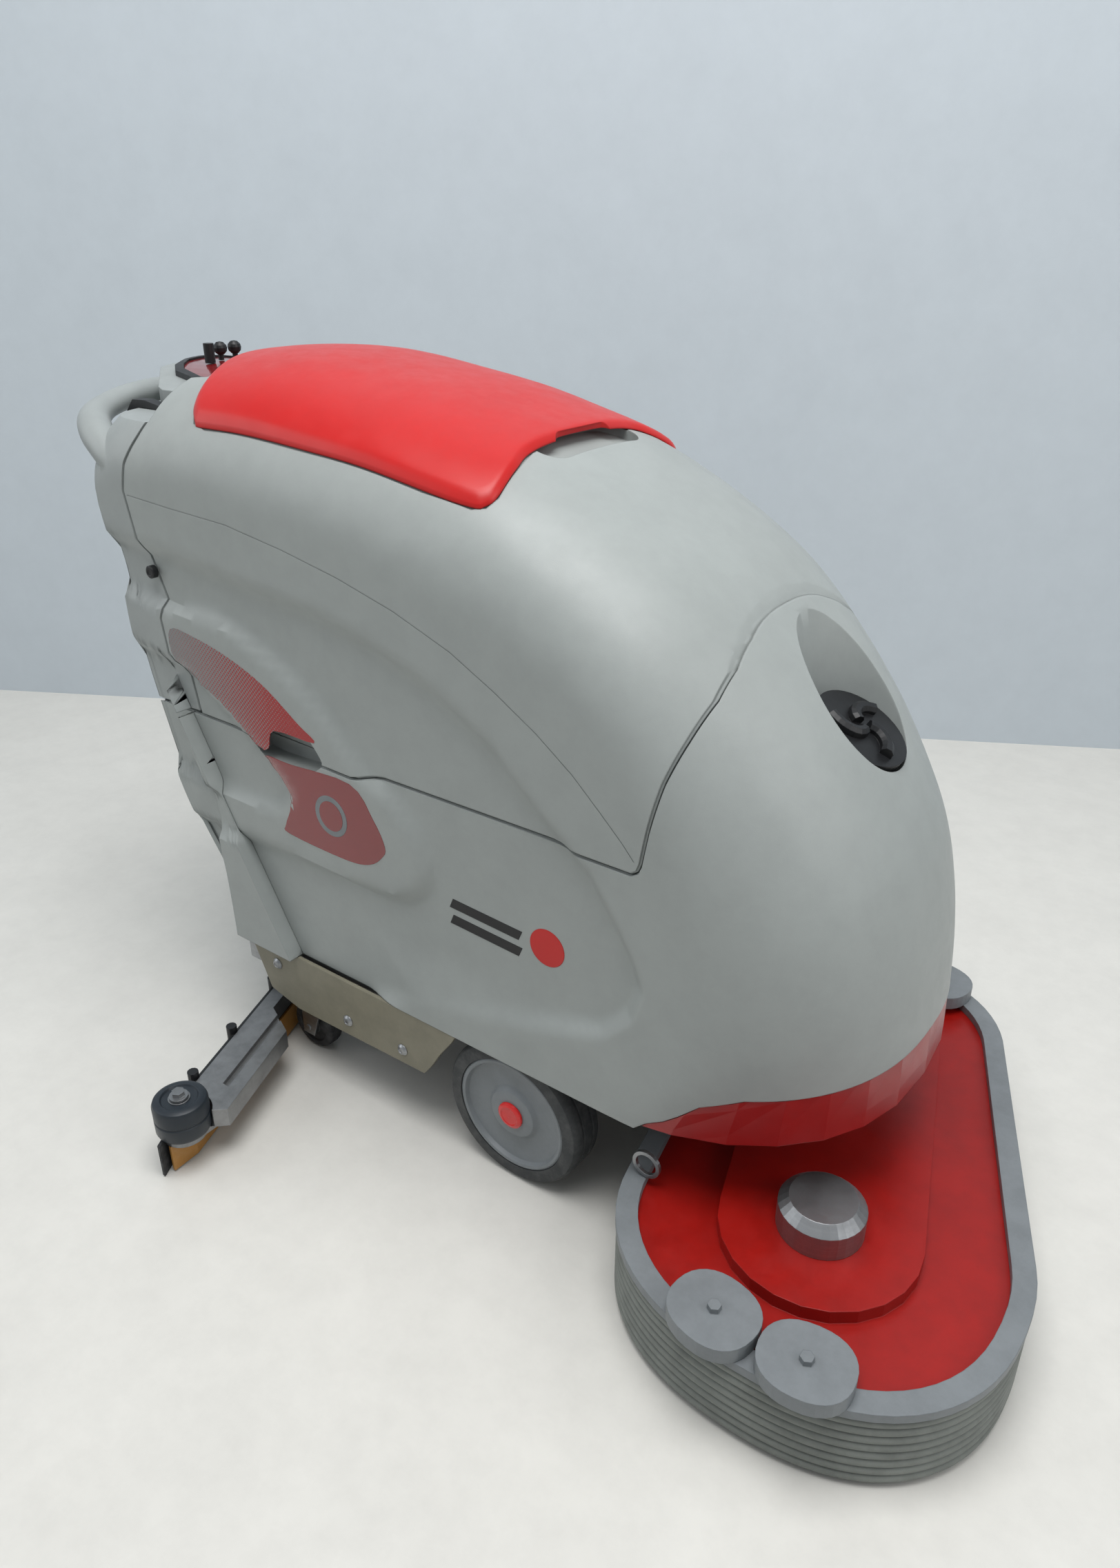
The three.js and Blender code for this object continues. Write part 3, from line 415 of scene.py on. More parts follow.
BODY_GREY = colour(150, 155, 153)
finish = {
    "shell": moulded("shell", BODY_GREY, 0.42, 1100, 0.00022, 0.025, 0.0022, 0.05),
    "column": moulded("column", colour(148, 153, 152), 0.42, 1100, 0.0002, 0.025, 0.0022, 0.05),
    "lid_red": moulded("lid_red", colour(186, 24, 22), 0.36, 1300, 0.00015, 0.03, 0.002, 0.04),
    "hub_red": moulded("hub_red", colour(205, 34, 34), 0.25, 1500, 0.00004, 0.03, 0.0012, 0.05,
                       0.3),
    "deck_red": moulded("deck_red", colour(150, 18, 12), 0.35, 900, 0.00012, 0.08, 0.0015, 0.15),
    "trim_red": moulded("trim_red", colour(150, 22, 22), 0.32, 1200, 0.0001, 0.04, 0.0015, 0.1,
                        0.2),
    "panel_red": moulded("panel_red", colour(120, 20, 24), 0.15, 1500, 0.00002, 0.04, 0.0005, 0.05,
                         0.6),
    "panel_grey": moulded("panel_grey", colour(128, 124, 108), 0.5, 1000, 0.0001, 0.05, 0.0015,
                          0.14),
    "skirt_grey": moulded("skirt_grey", colour(122, 126, 121), 0.62, 700, 0.0002, 0.07, 0.0015,
                          0.22),
    "rim_grey": moulded("rim_grey", colour(120, 125, 128), 0.45, 1000, 0.00015, 0.05, 0.0015, 0.14),
    "black_plastic": moulded("black_plastic", colour(24, 25, 27), 0.42, 1000, 0.0002, 0.2, 0.0012,
                             0.1),
    "black_rubber": rubber("black_rubber", colour(38, 39, 41)),
    "tyre": rubber("tyre", colour(58, 60, 61), 0.8, colour(140, 140, 136), 0.2),
    "roller_plastic": moulded("roller_plastic", colour(36, 43, 50), 0.38, 800, 0.0002, 0.12, 0.0015,
                              0.2),
    "cast_metal": moulded("cast_metal", colour(150, 151, 152), 0.42, 500, 0.0003, 0.1, 0.0012, 0.25,
                          0.0, 0.9, 0.5),
    "steel": brushed("steel", colour(168, 170, 172)),
    "amber_rubber": rubber("amber_rubber", colour(170, 120, 55), 0.5, colour(190, 170, 130), 0.15),
    "bristle": rubber("bristle", colour(48, 80, 125), 0.7, colour(110, 130, 160), 0.3),
    "battery_case": moulded("battery_case", colour(50, 54, 58), 0.5, 800, 0.0002, 0.1, 0.002, 0.2),
}
slot_of = {part["node"]: part["material_slot"] for part in frame["record"]["subparts"]}
for node_name, node in nodes.items():
    node.data.materials.clear()
    node.data.materials.append(finish[slot_of[node_name]])


def place(piece, body, slot, *replaced, material=None):
    """Gives a finished piece its body, its finish and the CAD nodes that it stands for."""
    piece.data.materials.clear()
    piece.data.materials.append(material or finish[slot])
    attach(piece, body)
    if replaced:
        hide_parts(*replaced)
    return piece


# ------------------------------------------------------------------ the body's outer form

# Ribs from the rear bottom edge, over the top, to the nose:
# spine x, crown x, crown z, shoulder depth.
STATIONS = np.array([(-400, -510, 203, 40), (-400, -586, 330, 45), (-400, -648, 440, 50),
                     (-400, -682, 560, 50), (-400, -710, 690, 55), (-400, -716, 800, 65),
                     (-420, -738, 885, 85), (-440, -742, 950, 110), (-470, -690, 996, 130),
                     (-510, -610, 1018, 150), (-520, -527, 1026, 160), (-429, -429, 1026, 165),
                     (-306, -306, 1011, 165), (-219, -219, 998, 165), (-130, -130, 978, 165),
                     (-51, -51, 957, 165), (29, 29, 924, 165), (90, 107, 884, 170),
                     (120, 169, 846, 180), (130, 211, 812, 190), (135, 260, 765, 205),
                     (140, 300, 722, 220), (145, 345, 666, 240), (150, 411, 558, 280),
                     (150, 442, 458, 292), (150, 458, 342, 305), (150, 462, 203, 310)], float)
SHOULDER_POWER = 2.5


def centripetal(points, stations):
    """Points on a centripetal Catmull-Rom curve, at stations from 0 to 1."""
    count = len(points)
    padded = np.vstack([2 * points[0] - points[1], points, 2 * points[-1] - points[-2]])
    out = []
    for station in stations:
        position = station * (count - 1)
        i = min(int(position), count - 2)
        t = position - i
        p0, p1, p2, p3 = padded[i:i + 4]
        d0, d1, d2 = (math.sqrt(np.linalg.norm(b - a)) for a, b in ((p0, p1), (p1, p2), (p2, p3)))
        d1 = d1 if d1 > 1e-4 else 1
        d0 = d0 if d0 > 1e-4 else d1
        d2 = d2 if d2 > 1e-4 else d1
        m1 = ((p1 - p0) / d0 - (p2 - p0) / (d0 + d1) + (p2 - p1) / d1) * d1
        m2 = ((p2 - p1) / d1 - (p3 - p1) / (d1 + d2) + (p3 - p2) / d2) * d1
        out.append(p1 + m1 * t + (3 * (p2 - p1) - 2 * m1 - m2) * t ** 2
                   + (2 * (p1 - p2) + m1 + m2) * t ** 3)
    return np.array(out)


def body_rings(rib_count, side_steps, shoulder_steps, grow=0):
    stations = np.linspace(0, 1, rib_count)
    crown = centripetal(STATIONS[:, [1, 3, 2]], stations)
    foot_line = np.stack([STATIONS[:, 0], np.zeros(len(STATIONS)), np.full(len(STATIONS), BASE)], 1)
    foot = centripetal(foot_line, stations)
    top = crown * np.array([1, 0, 1])
    direction = top - foot
    height = np.linalg.norm(direction, axis=1)
    direction /= height[:, None]
    height = height + grow
    depth = np.minimum(crown[:, 1] + grow, height)
    width = HALF_WIDTH + grow
    straight = np.maximum(height - depth, 0)
    turns = np.linspace(0, math.pi / 2, shoulder_steps + 1)
    reach = np.concatenate([np.full(side_steps, width),
                            width * np.abs(np.cos(turns)) ** (2 / SHOULDER_POWER)])
    rise = np.concatenate([
        straight[:, None] * np.linspace(0, 1, side_steps, endpoint=False)[None, :],
        straight[:, None] + depth[:, None] * (np.sin(turns) ** (2 / SHOULDER_POWER))[None, :]], 1)
    half = foot[:, None] + direction[:, None] * rise[:, :, None]
    right = half.copy()
    right[:, :, 1] = -reach
    left = half[:, :-1][:, ::-1].copy()
    left[:, :, 1] = reach[:-1][::-1]
    return np.concatenate([right, left], 1)


def ring_normals(rings):
    along = np.gradient(rings, axis=0)
    around = np.gradient(rings, axis=1)
    normals = np.cross(around, along)
    length = np.linalg.norm(normals, axis=2)
    normals /= np.maximum(length, 1e-9)[:, :, None]
    centre = np.array([-150, 0, 500])
    if ((rings - centre) * normals).sum() < 0:
        normals = -normals
    return normals


def polygon_distance(points, polygon):
    """Distance of [x, z] points from a closed outline, negative inside it."""
    polygon = np.asarray(polygon, float)
    nearest = np.full(len(points), 1e9)
    inside = np.zeros(len(points), bool)
    for a, b in zip(polygon, np.roll(polygon, -1, 0)):
        edge = b - a
        share = np.clip(((points - a) @ edge) / (edge @ edge), 0, 1)
        nearest = np.minimum(nearest, np.linalg.norm(points - a - share[:, None] * edge, axis=1))
        crosses = (a[1] > points[:, 1]) != (b[1] > points[:, 1])
        with np.errstate(divide="ignore", invalid="ignore"):
            at = a[0] + (points[:, 1] - a[1]) * (b[0] - a[0]) / (b[1] - a[1])
        inside ^= crosses & (points[:, 0] < at)
    return np.where(inside, -nearest, nearest)


def step(value, start, end):
    t = np.clip((value - start) / (end - start), 0, 1)
    return t * t * (3 - 2 * t)


# Side outlines, as [x, z]: the hollow under the long arc, and the raised band in it.
ARC = [(-594, 793), (-506, 785), (-395, 773), (-294, 763), (-199, 743), (-111, 713), (-48, 679),
       (0, 650), (21, 627), (68, 585), (97, 564), (130, 536), (163, 490), (193, 442), (206, 407),
       (191, 358)]
HOLLOW = [(-900, 800), (-700, 799)] + ARC + [(150, 316), (60, 285), (-100, 240), (-300, 170),
                                             (-900, 120)]
BAND_OUTER = [(-900, 716), (-596, 715), (-498, 718), (-418, 696), (-343, 660), (-285, 617),
              (-219, 554), (-183, 544), (-139, 499), (-121, 444), (-132, 410), (-160, 387),
              (-200, 376), (-294, 373), (-470, 372), (-600, 372), (-900, 378)]
BAND_INNER = [(-900, 640), (-604, 634), (-524, 598), (-443, 550), (-395, 512), (-374, 488),
              (-376, 470), (-390, 455), (-410, 445), (-512, 440), (-643, 446), (-900, 450)]
BAND_OUTER = smooth_path(BAND_OUTER, 4, closed=True)
BAND_INNER = smooth_path(BAND_INNER, 4, closed=True)
HOLLOW_DEPTH = 13.0
# How far the back is drawn in, by height.
BACK = np.array([(200, 3), (273, 8), (302, 6), (370, 6), (394, 0), (445, 0), (470, 13), (556, 16),
                 (640, 18), (652, 2), (705, 2), (733, 14), (781, 20), (829, 16), (862, 12),
                 (885, 4), (930, 0)], float)


def sculpt(rings):
    """How far each point of the form moves inwards, along its own normal."""
    normals = ring_normals(rings)
    flat = rings.reshape(-1, 3)
    side = np.abs(normals[:, :, 1].reshape(-1))
    back = np.maximum(-normals[:, :, 0].reshape(-1), 0)
    plan = flat[:, [0, 2]]
    hollow = step(-polygon_distance(plan, HOLLOW), -4, 20)
    fade = step(flat[:, 2], 205, 330)
    band = step(-polygon_distance(plan, BAND_OUTER), -2, 16)
    band *= 1 - step(-polygon_distance(plan, BAND_INNER), -2, 16)
    inset = HOLLOW_DEPTH * hollow * (1 - 0.9 * band) * np.maximum(fade, step(-plan[:, 0], 120, 260))
    inset *= step(side, 0.35, 0.8)
    inset += np.interp(flat[:, 2], BACK[:, 0], BACK[:, 1]) * step(back, 0.25, 0.8)
    return flat - normals.reshape(-1, 3) * inset[:, None], normals.reshape(-1, 3)


RIBS, SIDE_STEPS, SHOULDER_STEPS = 200, 56, 28
fine = body_rings(RIBS, SIDE_STEPS, SHOULDER_STEPS)
fine_points, fine_normals = sculpt(fine)
columns = fine.shape[1]
form_faces = grid_faces(RIBS, columns)


def form(name, inward=0.0):
    return mesh_object(name, fine_points - fine_normals * inward, form_faces, 60)


def plain_form(name, grow):
    rings = body_rings(140, 24, 20, grow)
    return rings_object(name, rings, 60)


# ------------------------------------------------------------------ where the body divides

SEAM = 1.2
SEAM_HALF_WIDTH = 2.4
SEAM_DEPTH = 3.0
SEAM_LINE = [(-900, 557), (-443, 551), (-248, 545), (-199, 554), (183, 555), (191, 560), (195, 570),
             (202, 610), (214, 669), (226, 712), (234, 745), (233, 767), (226, 787), (215, 808),
             (196, 836)]
ABOVE = SEAM_LINE + [(150, 1200), (-900, 1200)]
BELOW = [(x + SEAM, z - SEAM) for x, z in SEAM_LINE] + [(600, 850), (600, 190), (-900, 190)]
COLUMN_SEAM = [(-562, 550), (-573, 616), (-601, 640), (-607, 690), (-598, 717), (-631, 799),
               (-644, 863), (-634, 900), (-612, 935), (-600, 960), (-600, 1100)]
COLUMN = COLUMN_SEAM + [(-900, 1100), (-900, 550)]
AHEAD = [(x + SEAM, z) for x, z in COLUMN_SEAM] + [(600, 1100), (600, 540)]
CREASE = [(-636, 858), (-549, 852), (-436, 846), (-333, 830), (-238, 811), (-149, 787), (-65, 756),
          (-2, 723), (56, 688), (105, 652), (144, 616), (172, 589), (187, 572)]


def side_cut(name, points):
    return prism(name, points, -290, 290, 1)


def strip(points, half):
    """A closed outline round a line, with a margin on each side."""
    points = np.asarray(points, float)
    tangents = np.gradient(points, axis=0)
    tangents /= np.linalg.norm(tangents, axis=1)[:, None]
    across = np.stack([-tangents[:, 1], tangents[:, 0]], 1)
    return np.vstack([points + across * half, (points - across * half)[::-1]])


def groove(name, points, half, depth, y_from=-290, y_to=290):
    """A cutter for a groove of that half width and depth along a line seen from the side."""
    cutter = prism(name, strip(points, half), y_from, y_to, 1)
    return cut(cutter, form("groove_floor", depth))


def seam_groove(name, line):
    return groove(name, line, SEAM_HALF_WIDTH, SEAM_DEPTH)


def pocket(y_side, low, high):
    outline = [(-438, 540), (-430, 566), (-414, 580), (-396, 584), (-330, 584), (-316, 574),
               (-300, 552), (-312, 538), (-330, 531), (-420, 528)]
    outline = [(x, z) for x, z in smooth_path(outline, 4, closed=True)]
    piece = prism("pocket", outline, *sorted((y_side * 216, y_side * 300)), 1)
    return common(piece, block("pocket_band", -500, -200, -310, 310, low, high))


FILLER_AXIS = np.array([0.5, 0, 0.87]) / math.hypot(0.5, 0.87)
FILLER_TOP = np.array([318, 22, 668])


def recess(grow=0):
    slope = np.array([-FILLER_AXIS[2], 0, FILLER_AXIS[0]])
    across = np.array([0, 1, 0])
    floor = FILLER_TOP - FILLER_AXIS * (30 + grow)
    mouth = np.array([334, 22, 775])
    turns = np.linspace(0, 2 * math.pi, 72, endpoint=False)
    levels = [(0.0, 58, 58), (0.02, 64, 64), (0.07, 67, 67), (0.3, 74, 72), (0.6, 96, 82),
              (1.0, 132, 96)]
    rings = []
    for share, long, wide in levels:
        middle = floor + (mouth - floor) * share
        rings.append(middle + np.outer(np.cos(turns) * (long + grow), slope)
                     + np.outer(np.sin(turns) * (wide + grow), across))
    return rings_object("recess", rings)


def well(y_side):
    return prism("well", circle(0, 109, 123, 96), *sorted((y_side * 178, y_side * 246)), 1)


NOSE_EDGE = [(185, 190), (215, 219), (238, 234), (256, 250), (282, 276), (330, 300), (520, 330),
             (520, 190)]


def solution_tank():
    tank = common(form("solution_tank_shell"), side_cut("below", BELOW))
    inner = plain_form("nose_inside", -20)
    hollow = common(side_cut("nose_hollow", [(150, 362), (150, 535), (208, 545), (226, 640),
                                             (246, 722), (242, 800), (300, 830), (520, 830),
                                             (520, 362)]), inner)
    cut(hollow, recess(8))
    seam_cutter = seam_groove("seam_groove", SEAM_LINE)
    pocket_band = [pocket(side, 500, 560) for side in (-1, 1)]
    deck_pocket = common(block("deck_pocket", 186, 448, -170, 170, 190, 350),
                         plain_form("nose_inside", -6))
    filler = lathe("filler_hole", [(0, -90), (47.4, -90), (47.4, 5), (0, 5)], FILLER_TOP,
                   FILLER_AXIS, 48)
    return cut(tank, block("battery_bay", -470, 112, -172, 172, 216, 700), hollow, deck_pocket,
               well(-1), well(1), *pocket_band, side_cut("nose_edge", NOSE_EDGE), recess(), filler,
               seam_cutter)


def lid_outline(grow=0.0):
    half = np.array([(-596, 0), (-590, 50), (-574, 100), (-548, 156), (-526, 200), (-506, 221),
                     (-480, 225), (-330, 220), (-130, 212), (-64, 206), (-49, 198), (-44, 182),
                     (-52, 140), (-60, 100), (-60, 0)], float)
    half[:, 0] += np.sign(half[:, 0] + 320) * grow
    half[1:-1, 1] += grow
    mirrored = half[1:-1] * np.array([1, -1])
    return np.vstack([half, mirrored[::-1]])


def operator_bay():
    """The level shelf at the back that the dash console stands on."""
    bay = block("operator_bay", -1000, -562, -150, 150, 940, 1200)
    return join(bay, block("shoulder_top", -1000, -599, -300, 300, 952, 1200))


def motor_alcove():
    return block("motor_alcove", -662, -492, -95, 95, 690, 876)


def recovery_tank():
    tank = common(form("recovery_tank_shell"), side_cut("above", ABOVE), side_cut("ahead", AHEAD))
    hollow = common(side_cut("tank_hollow", [(-478, 572), (172, 572), (190, 640), (214, 722),
                                             (232, 790), (240, 1100), (-478, 1100)]),
                    plain_form("tank_inside", -22))
    mouth = prism("mouth", rounded(-470, -130, -150, 150, 40), 880, 1100, 2)
    seat = cut(prism("lid_seat", lid_outline(1.2), 880, 1100, 2), form("seat_floor", 1.8))
    scoop = cut(prism("scoop", rounded(-92, -30, -94, 94, 28, 10), 880, 1100, 2),
                plain_form("scoop_floor", -14))
    bay = operator_bay()
    seam_cutter = seam_groove("seam_groove", SEAM_LINE)
    column_cutter = seam_groove("column_groove", COLUMN_SEAM)
    crease = groove("crease", CREASE, 0.5, 0.7)
    return cut(tank, hollow, mouth, seat, scoop, bay, motor_alcove(),
               pocket(-1, 540, 600), pocket(1, 540, 600), seam_cutter, column_cutter, crease)


def rear_column():
    column = common(form("rear_column_shell"), side_cut("column", COLUMN),
                    block("above_seam", -900, 600, -290, 290, 557, 1200))
    bay = operator_bay()
    column_cutter = seam_groove("column_groove", COLUMN_SEAM)
    cut(column, bay, motor_alcove(), column_cutter)
    half = np.array([(-680, 224, 888), (-700, 224, 905), (-738, 214, 925), (-776, 189, 940),
                     (-805, 142, 951), (-826, 76, 958)])
    path = np.vstack([flipped_side(half), [(-832, 0, 960)], half[::-1]])
    path = smooth_path(path, 10)
    thick = 17 + 5 * step(np.abs(path[:, 1]), 150, 225)
    bow = sweep("bow", path, thick + 2, thick, 36)
    bridge = block("bridge", -822, -700, -74, 74, 922, 940)
    return join(column, bow, bridge)


tank_lower = solution_tank()
tank_upper = recovery_tank()
column = rear_column()
for piece in (tank_lower, tank_upper, column):
    smooth(piece, 32)
place(tank_lower, "chassis", "shell", "solution_tank")
place(tank_upper, "upper_body", "shell", "recovery_tank")
place(column, "upper_body", "column", "rear_column")

# ------------------------------------------------------------------ lid

LID_HEIGHT = 8.5


def probe(grow):
    """A search tree over the plain form, to find its height at a point."""
    rings = body_rings(200, 30, 40, grow)
    points = [tuple(p) for p in rings.reshape(-1, 3)]
    return BVHTree.FromPolygons(points, grid_faces(len(rings), rings.shape[1]))


form_probe = probe(0)
lid_probe = probe(LID_HEIGHT)


def height_at(tree, x, y):
    hit = tree.ray_cast(Vector((x, y, 1300)), Vector((0, 0, -1)))[0]
    return hit.z


def even_outline(points, count):
    """A closed outline divided into equal steps."""
    points = np.asarray(points, float)
    loop = np.vstack([points, points[:1]])
    lengths = np.concatenate([[0], np.cumsum(np.linalg.norm(np.diff(loop, axis=0), axis=1))])
    at = np.linspace(0, lengths[-1], count, endpoint=False)
    return np.stack([np.interp(at, lengths, loop[:, 0]), np.interp(at, lengths, loop[:, 1])], 1)


def lid_shell():
    outline = even_outline(smooth_path(lid_outline(), 6, closed=True), 420)
    middle = np.array([-318.0, 0.0])
    shares = [0, 0.003, 0.008, 0.016, 0.026, 0.04, 0.06, 0.09, 0.13, 0.18, 0.25, 0.34, 0.45, 0.58,
              0.72, 0.86, 0.96]
    top_rings, low_rings = [], []
    for share in shares:
        plan = outline + (middle - outline) * share
        inset = np.maximum(-polygon_distance(plan, outline), 0)
        roll = 7.0 * (1 - np.clip(inset / 9, 0, 1)) ** 2.2
        top = [height_at(lid_probe, x, y) for x, y in plan]
        low = [height_at(form_probe, x, y) + 0.4 for x, y in plan]
        top = np.array(top) - roll
        low = np.minimum(np.array(low), top - 1.5)
        top_rings.append(np.column_stack([plan, top]))
        low_rings.append(np.column_stack([plan, low]))
    rings = low_rings[::-1] + top_rings
    return rings_object("lid_shell", rings, 50)


lid = lid_shell()
cut(lid, prism("lid_notch", rounded(-66, 20, -62, 62, 20, 10), 880, 968, 2))
smooth(lid, 40)
place(lid, "lid", "lid_red", "lid")

# ------------------------------------------------------------------ graphics on the sides

# Each one is a thin skin lying on the moulded side, cut to an outline seen from the side.
DECAL_UPPER = [(-590, 678), (-537, 677), (-467, 662), (-401, 637), (-340, 598), (-311, 578),
               (-390, 575), (-406, 545), (-432, 544), (-496, 590), (-585, 630)]
DECAL_LOWER = [(-417, 530), (-364, 532), (-251, 536), (-212, 496), (-194, 461), (-201, 443),
               (-226, 424), (-272, 416), (-382, 420), (-388, 433), (-374, 465), (-384, 495)]
RING_CENTRE = (-292, 476)
ROUNDEL_CENTRE = (60, 402)
STRIPES = [[(-96, 378), (16, 372), (22, 386), (-90, 392)],
           [(-96, 402), (16, 396), (22, 410), (-90, 416)]]


def skin(name, outline, side, thickness=0.35):
    patch = form(name, -thickness)
    common(patch, prism("skin_outline", outline, *sorted((side * 120, side * 300)), 1))
    cut(patch, form("skin_back", 0.6))
    smooth(patch, 40)
    return patch


def halftone():
    """Red at the front, breaking into red dots on grey towards the back."""
    n = Nodes("halftone")
    split = n.tree.nodes.new("ShaderNodeSeparateXYZ")
    n.link(n.place, split.inputs[0])
    across = n.maths("MULTIPLY_ADD", split.outputs[0], 3.3, 1.75 - 3.3 * (AXLE - 0.115))
    turned = n.stretched((1, 0, 1), (0, math.radians(45), 0))
    dots = n.voronoi(220, turned, 0.0)
    size = n.maths("MULTIPLY", across, 0.62)
    inside = n.maths("LESS_THAN", dots, size)
    n.link(n.mix(inside, colour(120, 118, 118), colour(150, 18, 20)), n.shader.inputs["Base Color"])
    n.link(n.ramp(n.noise(30, 4), [(0.3, 0.22), (0.7, 0.34)]), n.shader.inputs["Roughness"])
    n.link(n.bump(n.noise(1100, 2), 0.2, 0.0001), n.shader.inputs["Normal"])
    return n.material


dots_finish = halftone()
for hand, side in (("right", -1), ("left", 1)):
    place(skin(f"upper_graphic_{hand}", smooth_path(DECAL_UPPER, 4, True), side), "upper_body",
          "panel_red", material=dots_finish)
    place(skin(f"lower_graphic_{hand}", smooth_path(DECAL_LOWER, 4, True), side), "chassis",
          "panel_red")
    place(skin(f"grey_ring_{hand}", circle(*RING_CENTRE, 30, 48), side, 0.6), "chassis", "rim_grey")
    place(skin(f"red_disc_{hand}", circle(*RING_CENTRE, 22, 48), side, 0.9), "chassis", "panel_red")
    place(skin(f"roundel_{hand}", circle(*ROUNDEL_CENTRE, 26, 48), side), "chassis", "lid_red")
    for number, stripe in enumerate(STRIPES, 1):
        place(skin(f"stripe_{hand}_{number}", stripe, side), "chassis", "black_plastic")

# ------------------------------------------------------------------ wheels and rollers

for hand, side in (("right", -1), ("left", 1)):
    hub = (0, side * 214, 109)
    outward_axis = (0, side, 0)
    shoulder = [(87, -29), (99, -29), (104.5, -27.5), (108, -23), (109, -17), (109, -12),
                (106.4, -11), (106.4, -8.5), (109, -7.5), (109, 0)]
    profile = shoulder + [(r, -h) for r, h in shoulder[:-1][::-1]]
    place(lathe(f"tyre_{hand}", profile, hub, outward_axis, 128, 30), f"drive_wheel_{hand}", "tyre",
          f"drive_tyre_{hand}")
    rim = [(0, -27), (86, -27), (86.6, 27), (84, 28.6), (80, 28), (77.5, 22), (70, 20.5), (44, 19),
           (40, 20.5), (36, 25), (30, 26.5), (0, 26.5)]
    place(lathe(f"rim_{hand}", rim, hub, outward_axis, 128, 30), f"drive_wheel_{hand}", "rim_grey",
          f"drive_rim_{hand}")
    cap = [(0, 26), (19, 26), (20, 27.5), (19.6, 30), (17, 31.8), (14, 32.2), (12.5, 31.2), (0, 31)]
    place(lathe(f"hub_{hand}", cap, hub, outward_axis, 64, 30), f"drive_wheel_{hand}", "hub_red",
          f"hub_cap_{hand}")

    low, high = (corner * 1000 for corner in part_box(f"castor_wheel_{hand}"))
    centre = ((low.x + high.x) / 2 - AXLE * 1000, (low.y + high.y) / 2, (low.z + high.z) / 2)
    half, radius = (high.y - low.y) / 2, (high.z - low.z) / 2
    edge = [(6, -half), (13, -half), (15, -half + 2.5), (radius - 14, -half + 2.5),
            (radius - 12, -half), (radius - 5, -half), (radius - 1.2, -half + 3.5),
            (radius, -half + 8)]
    place(lathe(f"castor_{hand}", edge + [(r, -h) for r, h in edge[::-1]], centre, (0, 1, 0), 96,
                30), f"castor_wheel_{hand}", slot_of[f"castor_wheel_{hand}"],
          f"castor_wheel_{hand}")

    low, high = (corner * 1000 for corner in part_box(f"side_roller_{hand}"))
    centre = ((low.x + high.x) / 2 - AXLE * 1000, (low.y + high.y) / 2, low.z)
    radius, tall = (high.x - low.x) / 2, high.z - low.z
    roller = [(9, 0.5), (radius - 8, 0.5), (radius - 2, 3), (radius, 8), (radius, tall * 0.46),
              (radius - 1.2, tall * 0.48), (radius - 1.2, tall * 0.52), (radius, tall * 0.54),
              (radius, tall - 8), (radius - 2, tall - 3), (radius - 7, tall - 0.5),
              (radius - 12, tall - 0.5), (radius - 14, tall - 3), (9, tall - 3)]
    place(lathe(f"roller_{hand}", roller, centre, (0, 0, 1), 96, 30), f"side_roller_{hand}",
          "roller_plastic", f"side_roller_{hand}")
    washer = [(8.5, tall - 3), (15, tall - 3), (15, tall - 1), (8.5, tall - 1)]
    place(lathe(f"washer_{hand}", washer, centre, (0, 0, 1), 48, 30), "squeegee", "steel")

    plug = [(0, -6), (9, -6), (9, 1.5), (7.5, 2.6), (5, 2.8), (4, 1.8), (0, 1.8)]
    place(lathe(f"plug_{hand}", plug, (-615, side * 247, 755), outward_axis, 48, 30), "upper_body",
          "black_plastic")
    bolt = [(0, -3), (9, -3), (9, 1.2), (8, 2), (6, 4.2), (3.5, 5), (3, 4), (0, 3.8)]
    for number, (x, z) in enumerate([(-448, 172), (-300, 132), (-190, 132)], 1):
        place(lathe(f"panel_bolt_{hand}_{number}", bolt, (x, side * 249, z), outward_axis, 32, 30),
              "chassis", "steel")

# ------------------------------------------------------------------ brush deck


def convex(points):
    points = sorted(set((round(x, 3), round(y, 3)) for x, y in points))

    def chain(line):
        kept = []
        for p in line:
            while len(kept) > 1 and ((kept[-1][0] - kept[-2][0]) * (p[1] - kept[-2][1])
                                     - (kept[-1][1] - kept[-2][1]) * (p[0] - kept[-2][0])) <= 0:
                kept.pop()
            kept.append(p)
        return kept[:-1]
    return chain(points) + chain(points[::-1])


def deck_outline(inset=0.0):
    points = []
    for x, y, long in ((420, -182, 237), (308, 182, 200)):
        turns = np.linspace(0, 2 * math.pi, 160, endpoint=False)
        c, s = np.cos(turns), np.sin(turns)
        points += list(zip(x + np.sign(c) * np.abs(c) ** (2 / 2.3) * (long - inset),
                           y + np.sign(s) * np.abs(s) ** (2 / 2.3) * (214 - inset)))
    return even_outline(convex([(max(x, 113 + inset), y) for x, y in points]), 420)


SKIRT_RIBS = 8


def deck_skirt():
    heights = np.linspace(7, 106.5, SKIRT_RIBS * 12 + 1)
    wave = 4.2 * np.abs(np.sin(np.linspace(0, SKIRT_RIBS * math.pi, len(heights)))) ** 0.55
    rings = [np.column_stack([deck_outline(6.5), np.full(420, 7.0)])]
    rings += [np.column_stack([deck_outline(3.4 - bulge), np.full(420, z)]) for z,
              bulge in zip(heights, wave)]
    rings.append(np.column_stack([deck_outline(6.5), np.full(420, 106.5)]))
    rings = np.array(rings)
    body = mesh_object("skirt", rings.reshape(-1, 3),
                       grid_faces(len(rings), 420, True,
                                  False) + [((len(rings) - 1) * 420 + i,
                                             (len(rings) - 1) * 420 + (i + 1) % 420, (i + 1) % 420,
                                             i) for i in range(420)], 50)
    return cut(body, block("skirt_slot", 100, 182, -76, 76, 91.5, 140))


skirt = deck_skirt()
smooth(skirt, 50)
place(skirt, "brush_deck", "skirt_grey", "deck_skirt")

# ------------------------------------------------------------------ dash

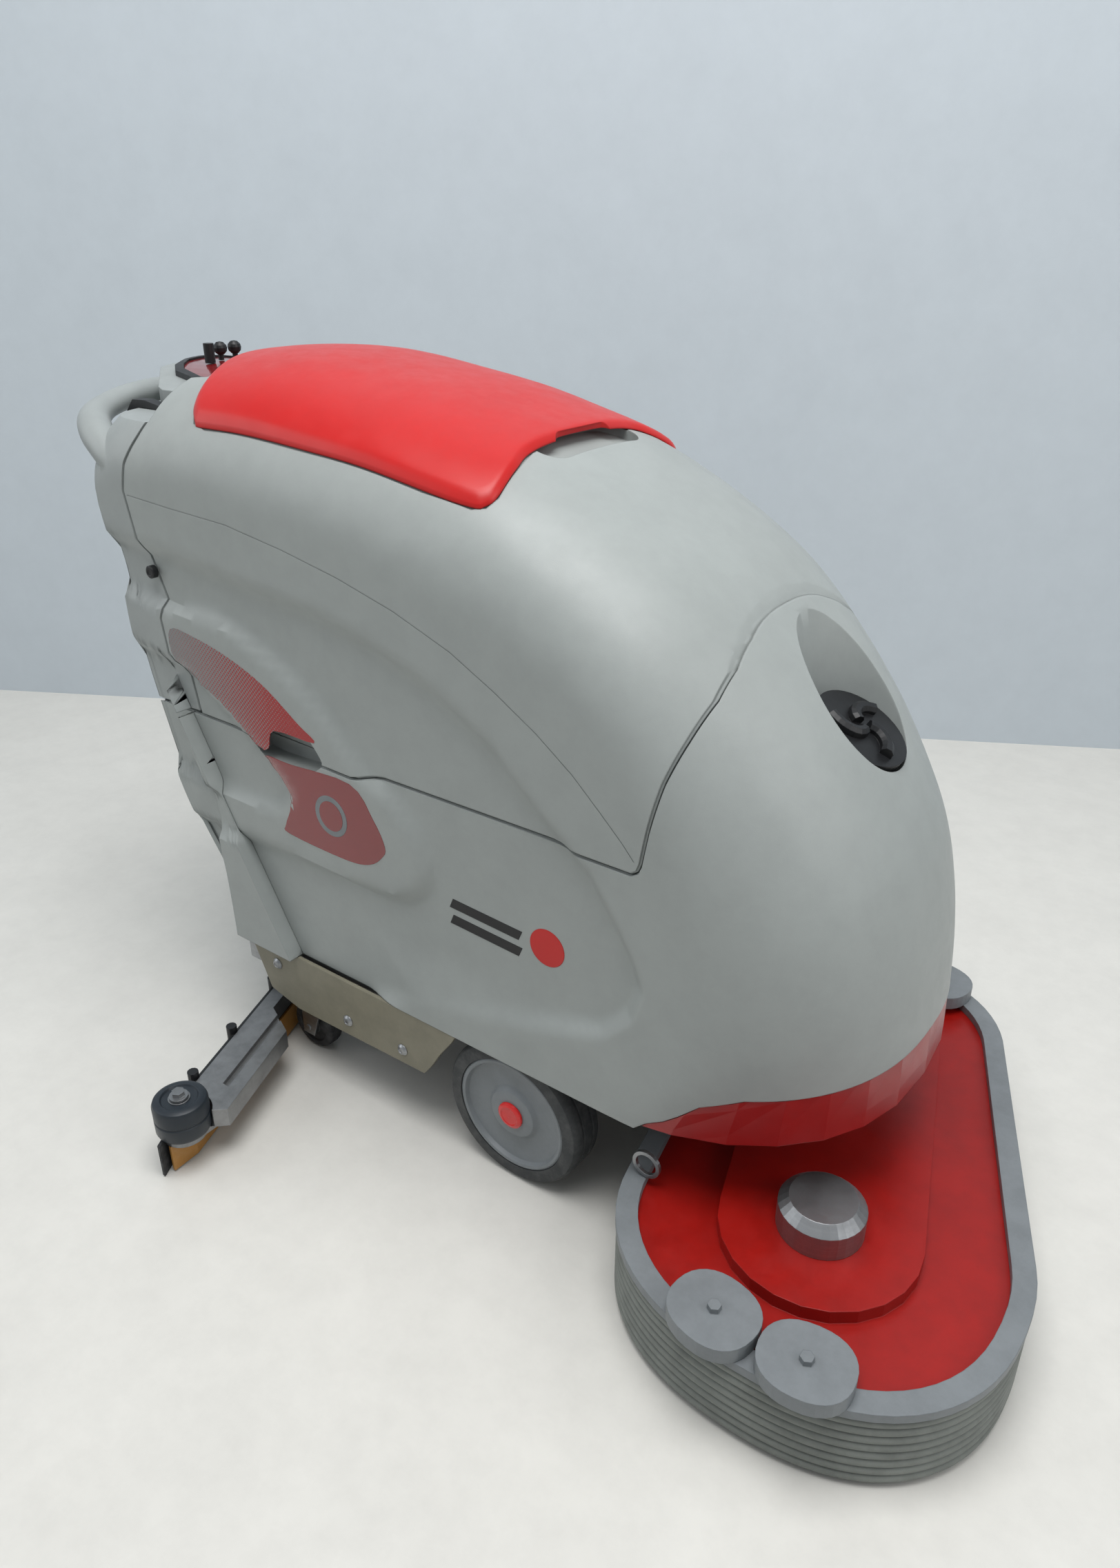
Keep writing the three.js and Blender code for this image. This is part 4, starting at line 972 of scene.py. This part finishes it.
arch = smooth_path([(-566, -84, 1006), (-556, -40, 1012), (-553, 0, 1014), (-556, 40, 1012),
                    (-566, 84, 1006)], 12)
place(sweep("dash_arch", arch, 5, 3, 20), "upper_body", "lid_red")

# ------------------------------------------------------------------ stage

floor_finish = moulded("floor_finish", colour(214, 212, 206), 0.35, 60, 0.0004, 0.03, 0.001, 0.04)
floor = mesh_object("floor", [(-9000, -9000, -1), (9000, -9000, -1), (9000, 9000, -1),
                              (-9000, 9000, -1)], [(0, 1, 2, 3)])
floor.data.materials.append(floor_finish)
wall_finish = moulded("wall_finish", colour(186, 194, 200), 0.8, 60, 0.0004, 0.02, 0.001, 0.02)
# The wall's foot runs from beside the machine's back to beyond its front.
wall = mesh_object("wall", [(-8000, -2790, -1), (6000, 4880, -1), (6000, 4880, 6000),
                            (-8000, -2790, 6000)], [(0, 1, 2, 3)])
wall.data.materials.append(wall_finish)

azimuth, elevation = math.radians(36.4), math.radians(26.4)
back = Vector((math.sin(azimuth) * math.cos(elevation), -math.cos(azimuth) * math.cos(elevation),
               math.sin(elevation)))
camera_data = bpy.data.cameras.new("camera")
camera_data.sensor_width = 36
camera_data.lens = 36 * 1627 / 2274
camera = bpy.data.objects.new("camera", camera_data)
camera.location = (AXLE + 0.740, -1.1332, 1.1816)
camera.rotation_euler = back.to_track_quat("Z", "Y").to_euler()
bpy.context.scene.collection.objects.link(camera)
bpy.context.scene.camera = camera


def area_light(name, location, target, size, power, tint=(1, 1, 1)):
    data = bpy.data.lights.new(name, "AREA")
    data.size = size
    data.energy = power
    data.color = tint
    light = bpy.data.objects.new(name, data)
    light.location = location
    light.rotation_euler = (Vector(location) - Vector(target)).to_track_quat("Z", "Y").to_euler()
    bpy.context.scene.collection.objects.link(light)


area_light("key", (0.4, -0.6, 3.7), (0, 0, 0.5), 2.2, 110)
area_light("fill", (-3.0, -2.2, 2.2), (0, 0, 0.6), 2.5, 30, (0.95, 0.98, 1))
area_light("front", (3.2, 0.4, 2.4), (0, 0, 0.6), 2.2, 35)
world = bpy.data.worlds.new("world")
world.use_nodes = True
world.node_tree.nodes["Background"].inputs["Color"].default_value = (0.80, 0.84, 0.88, 1)
world.node_tree.nodes["Background"].inputs["Strength"].default_value = 0.42
bpy.context.scene.world = world
bpy.context.scene.view_settings.view_transform = "Standard"
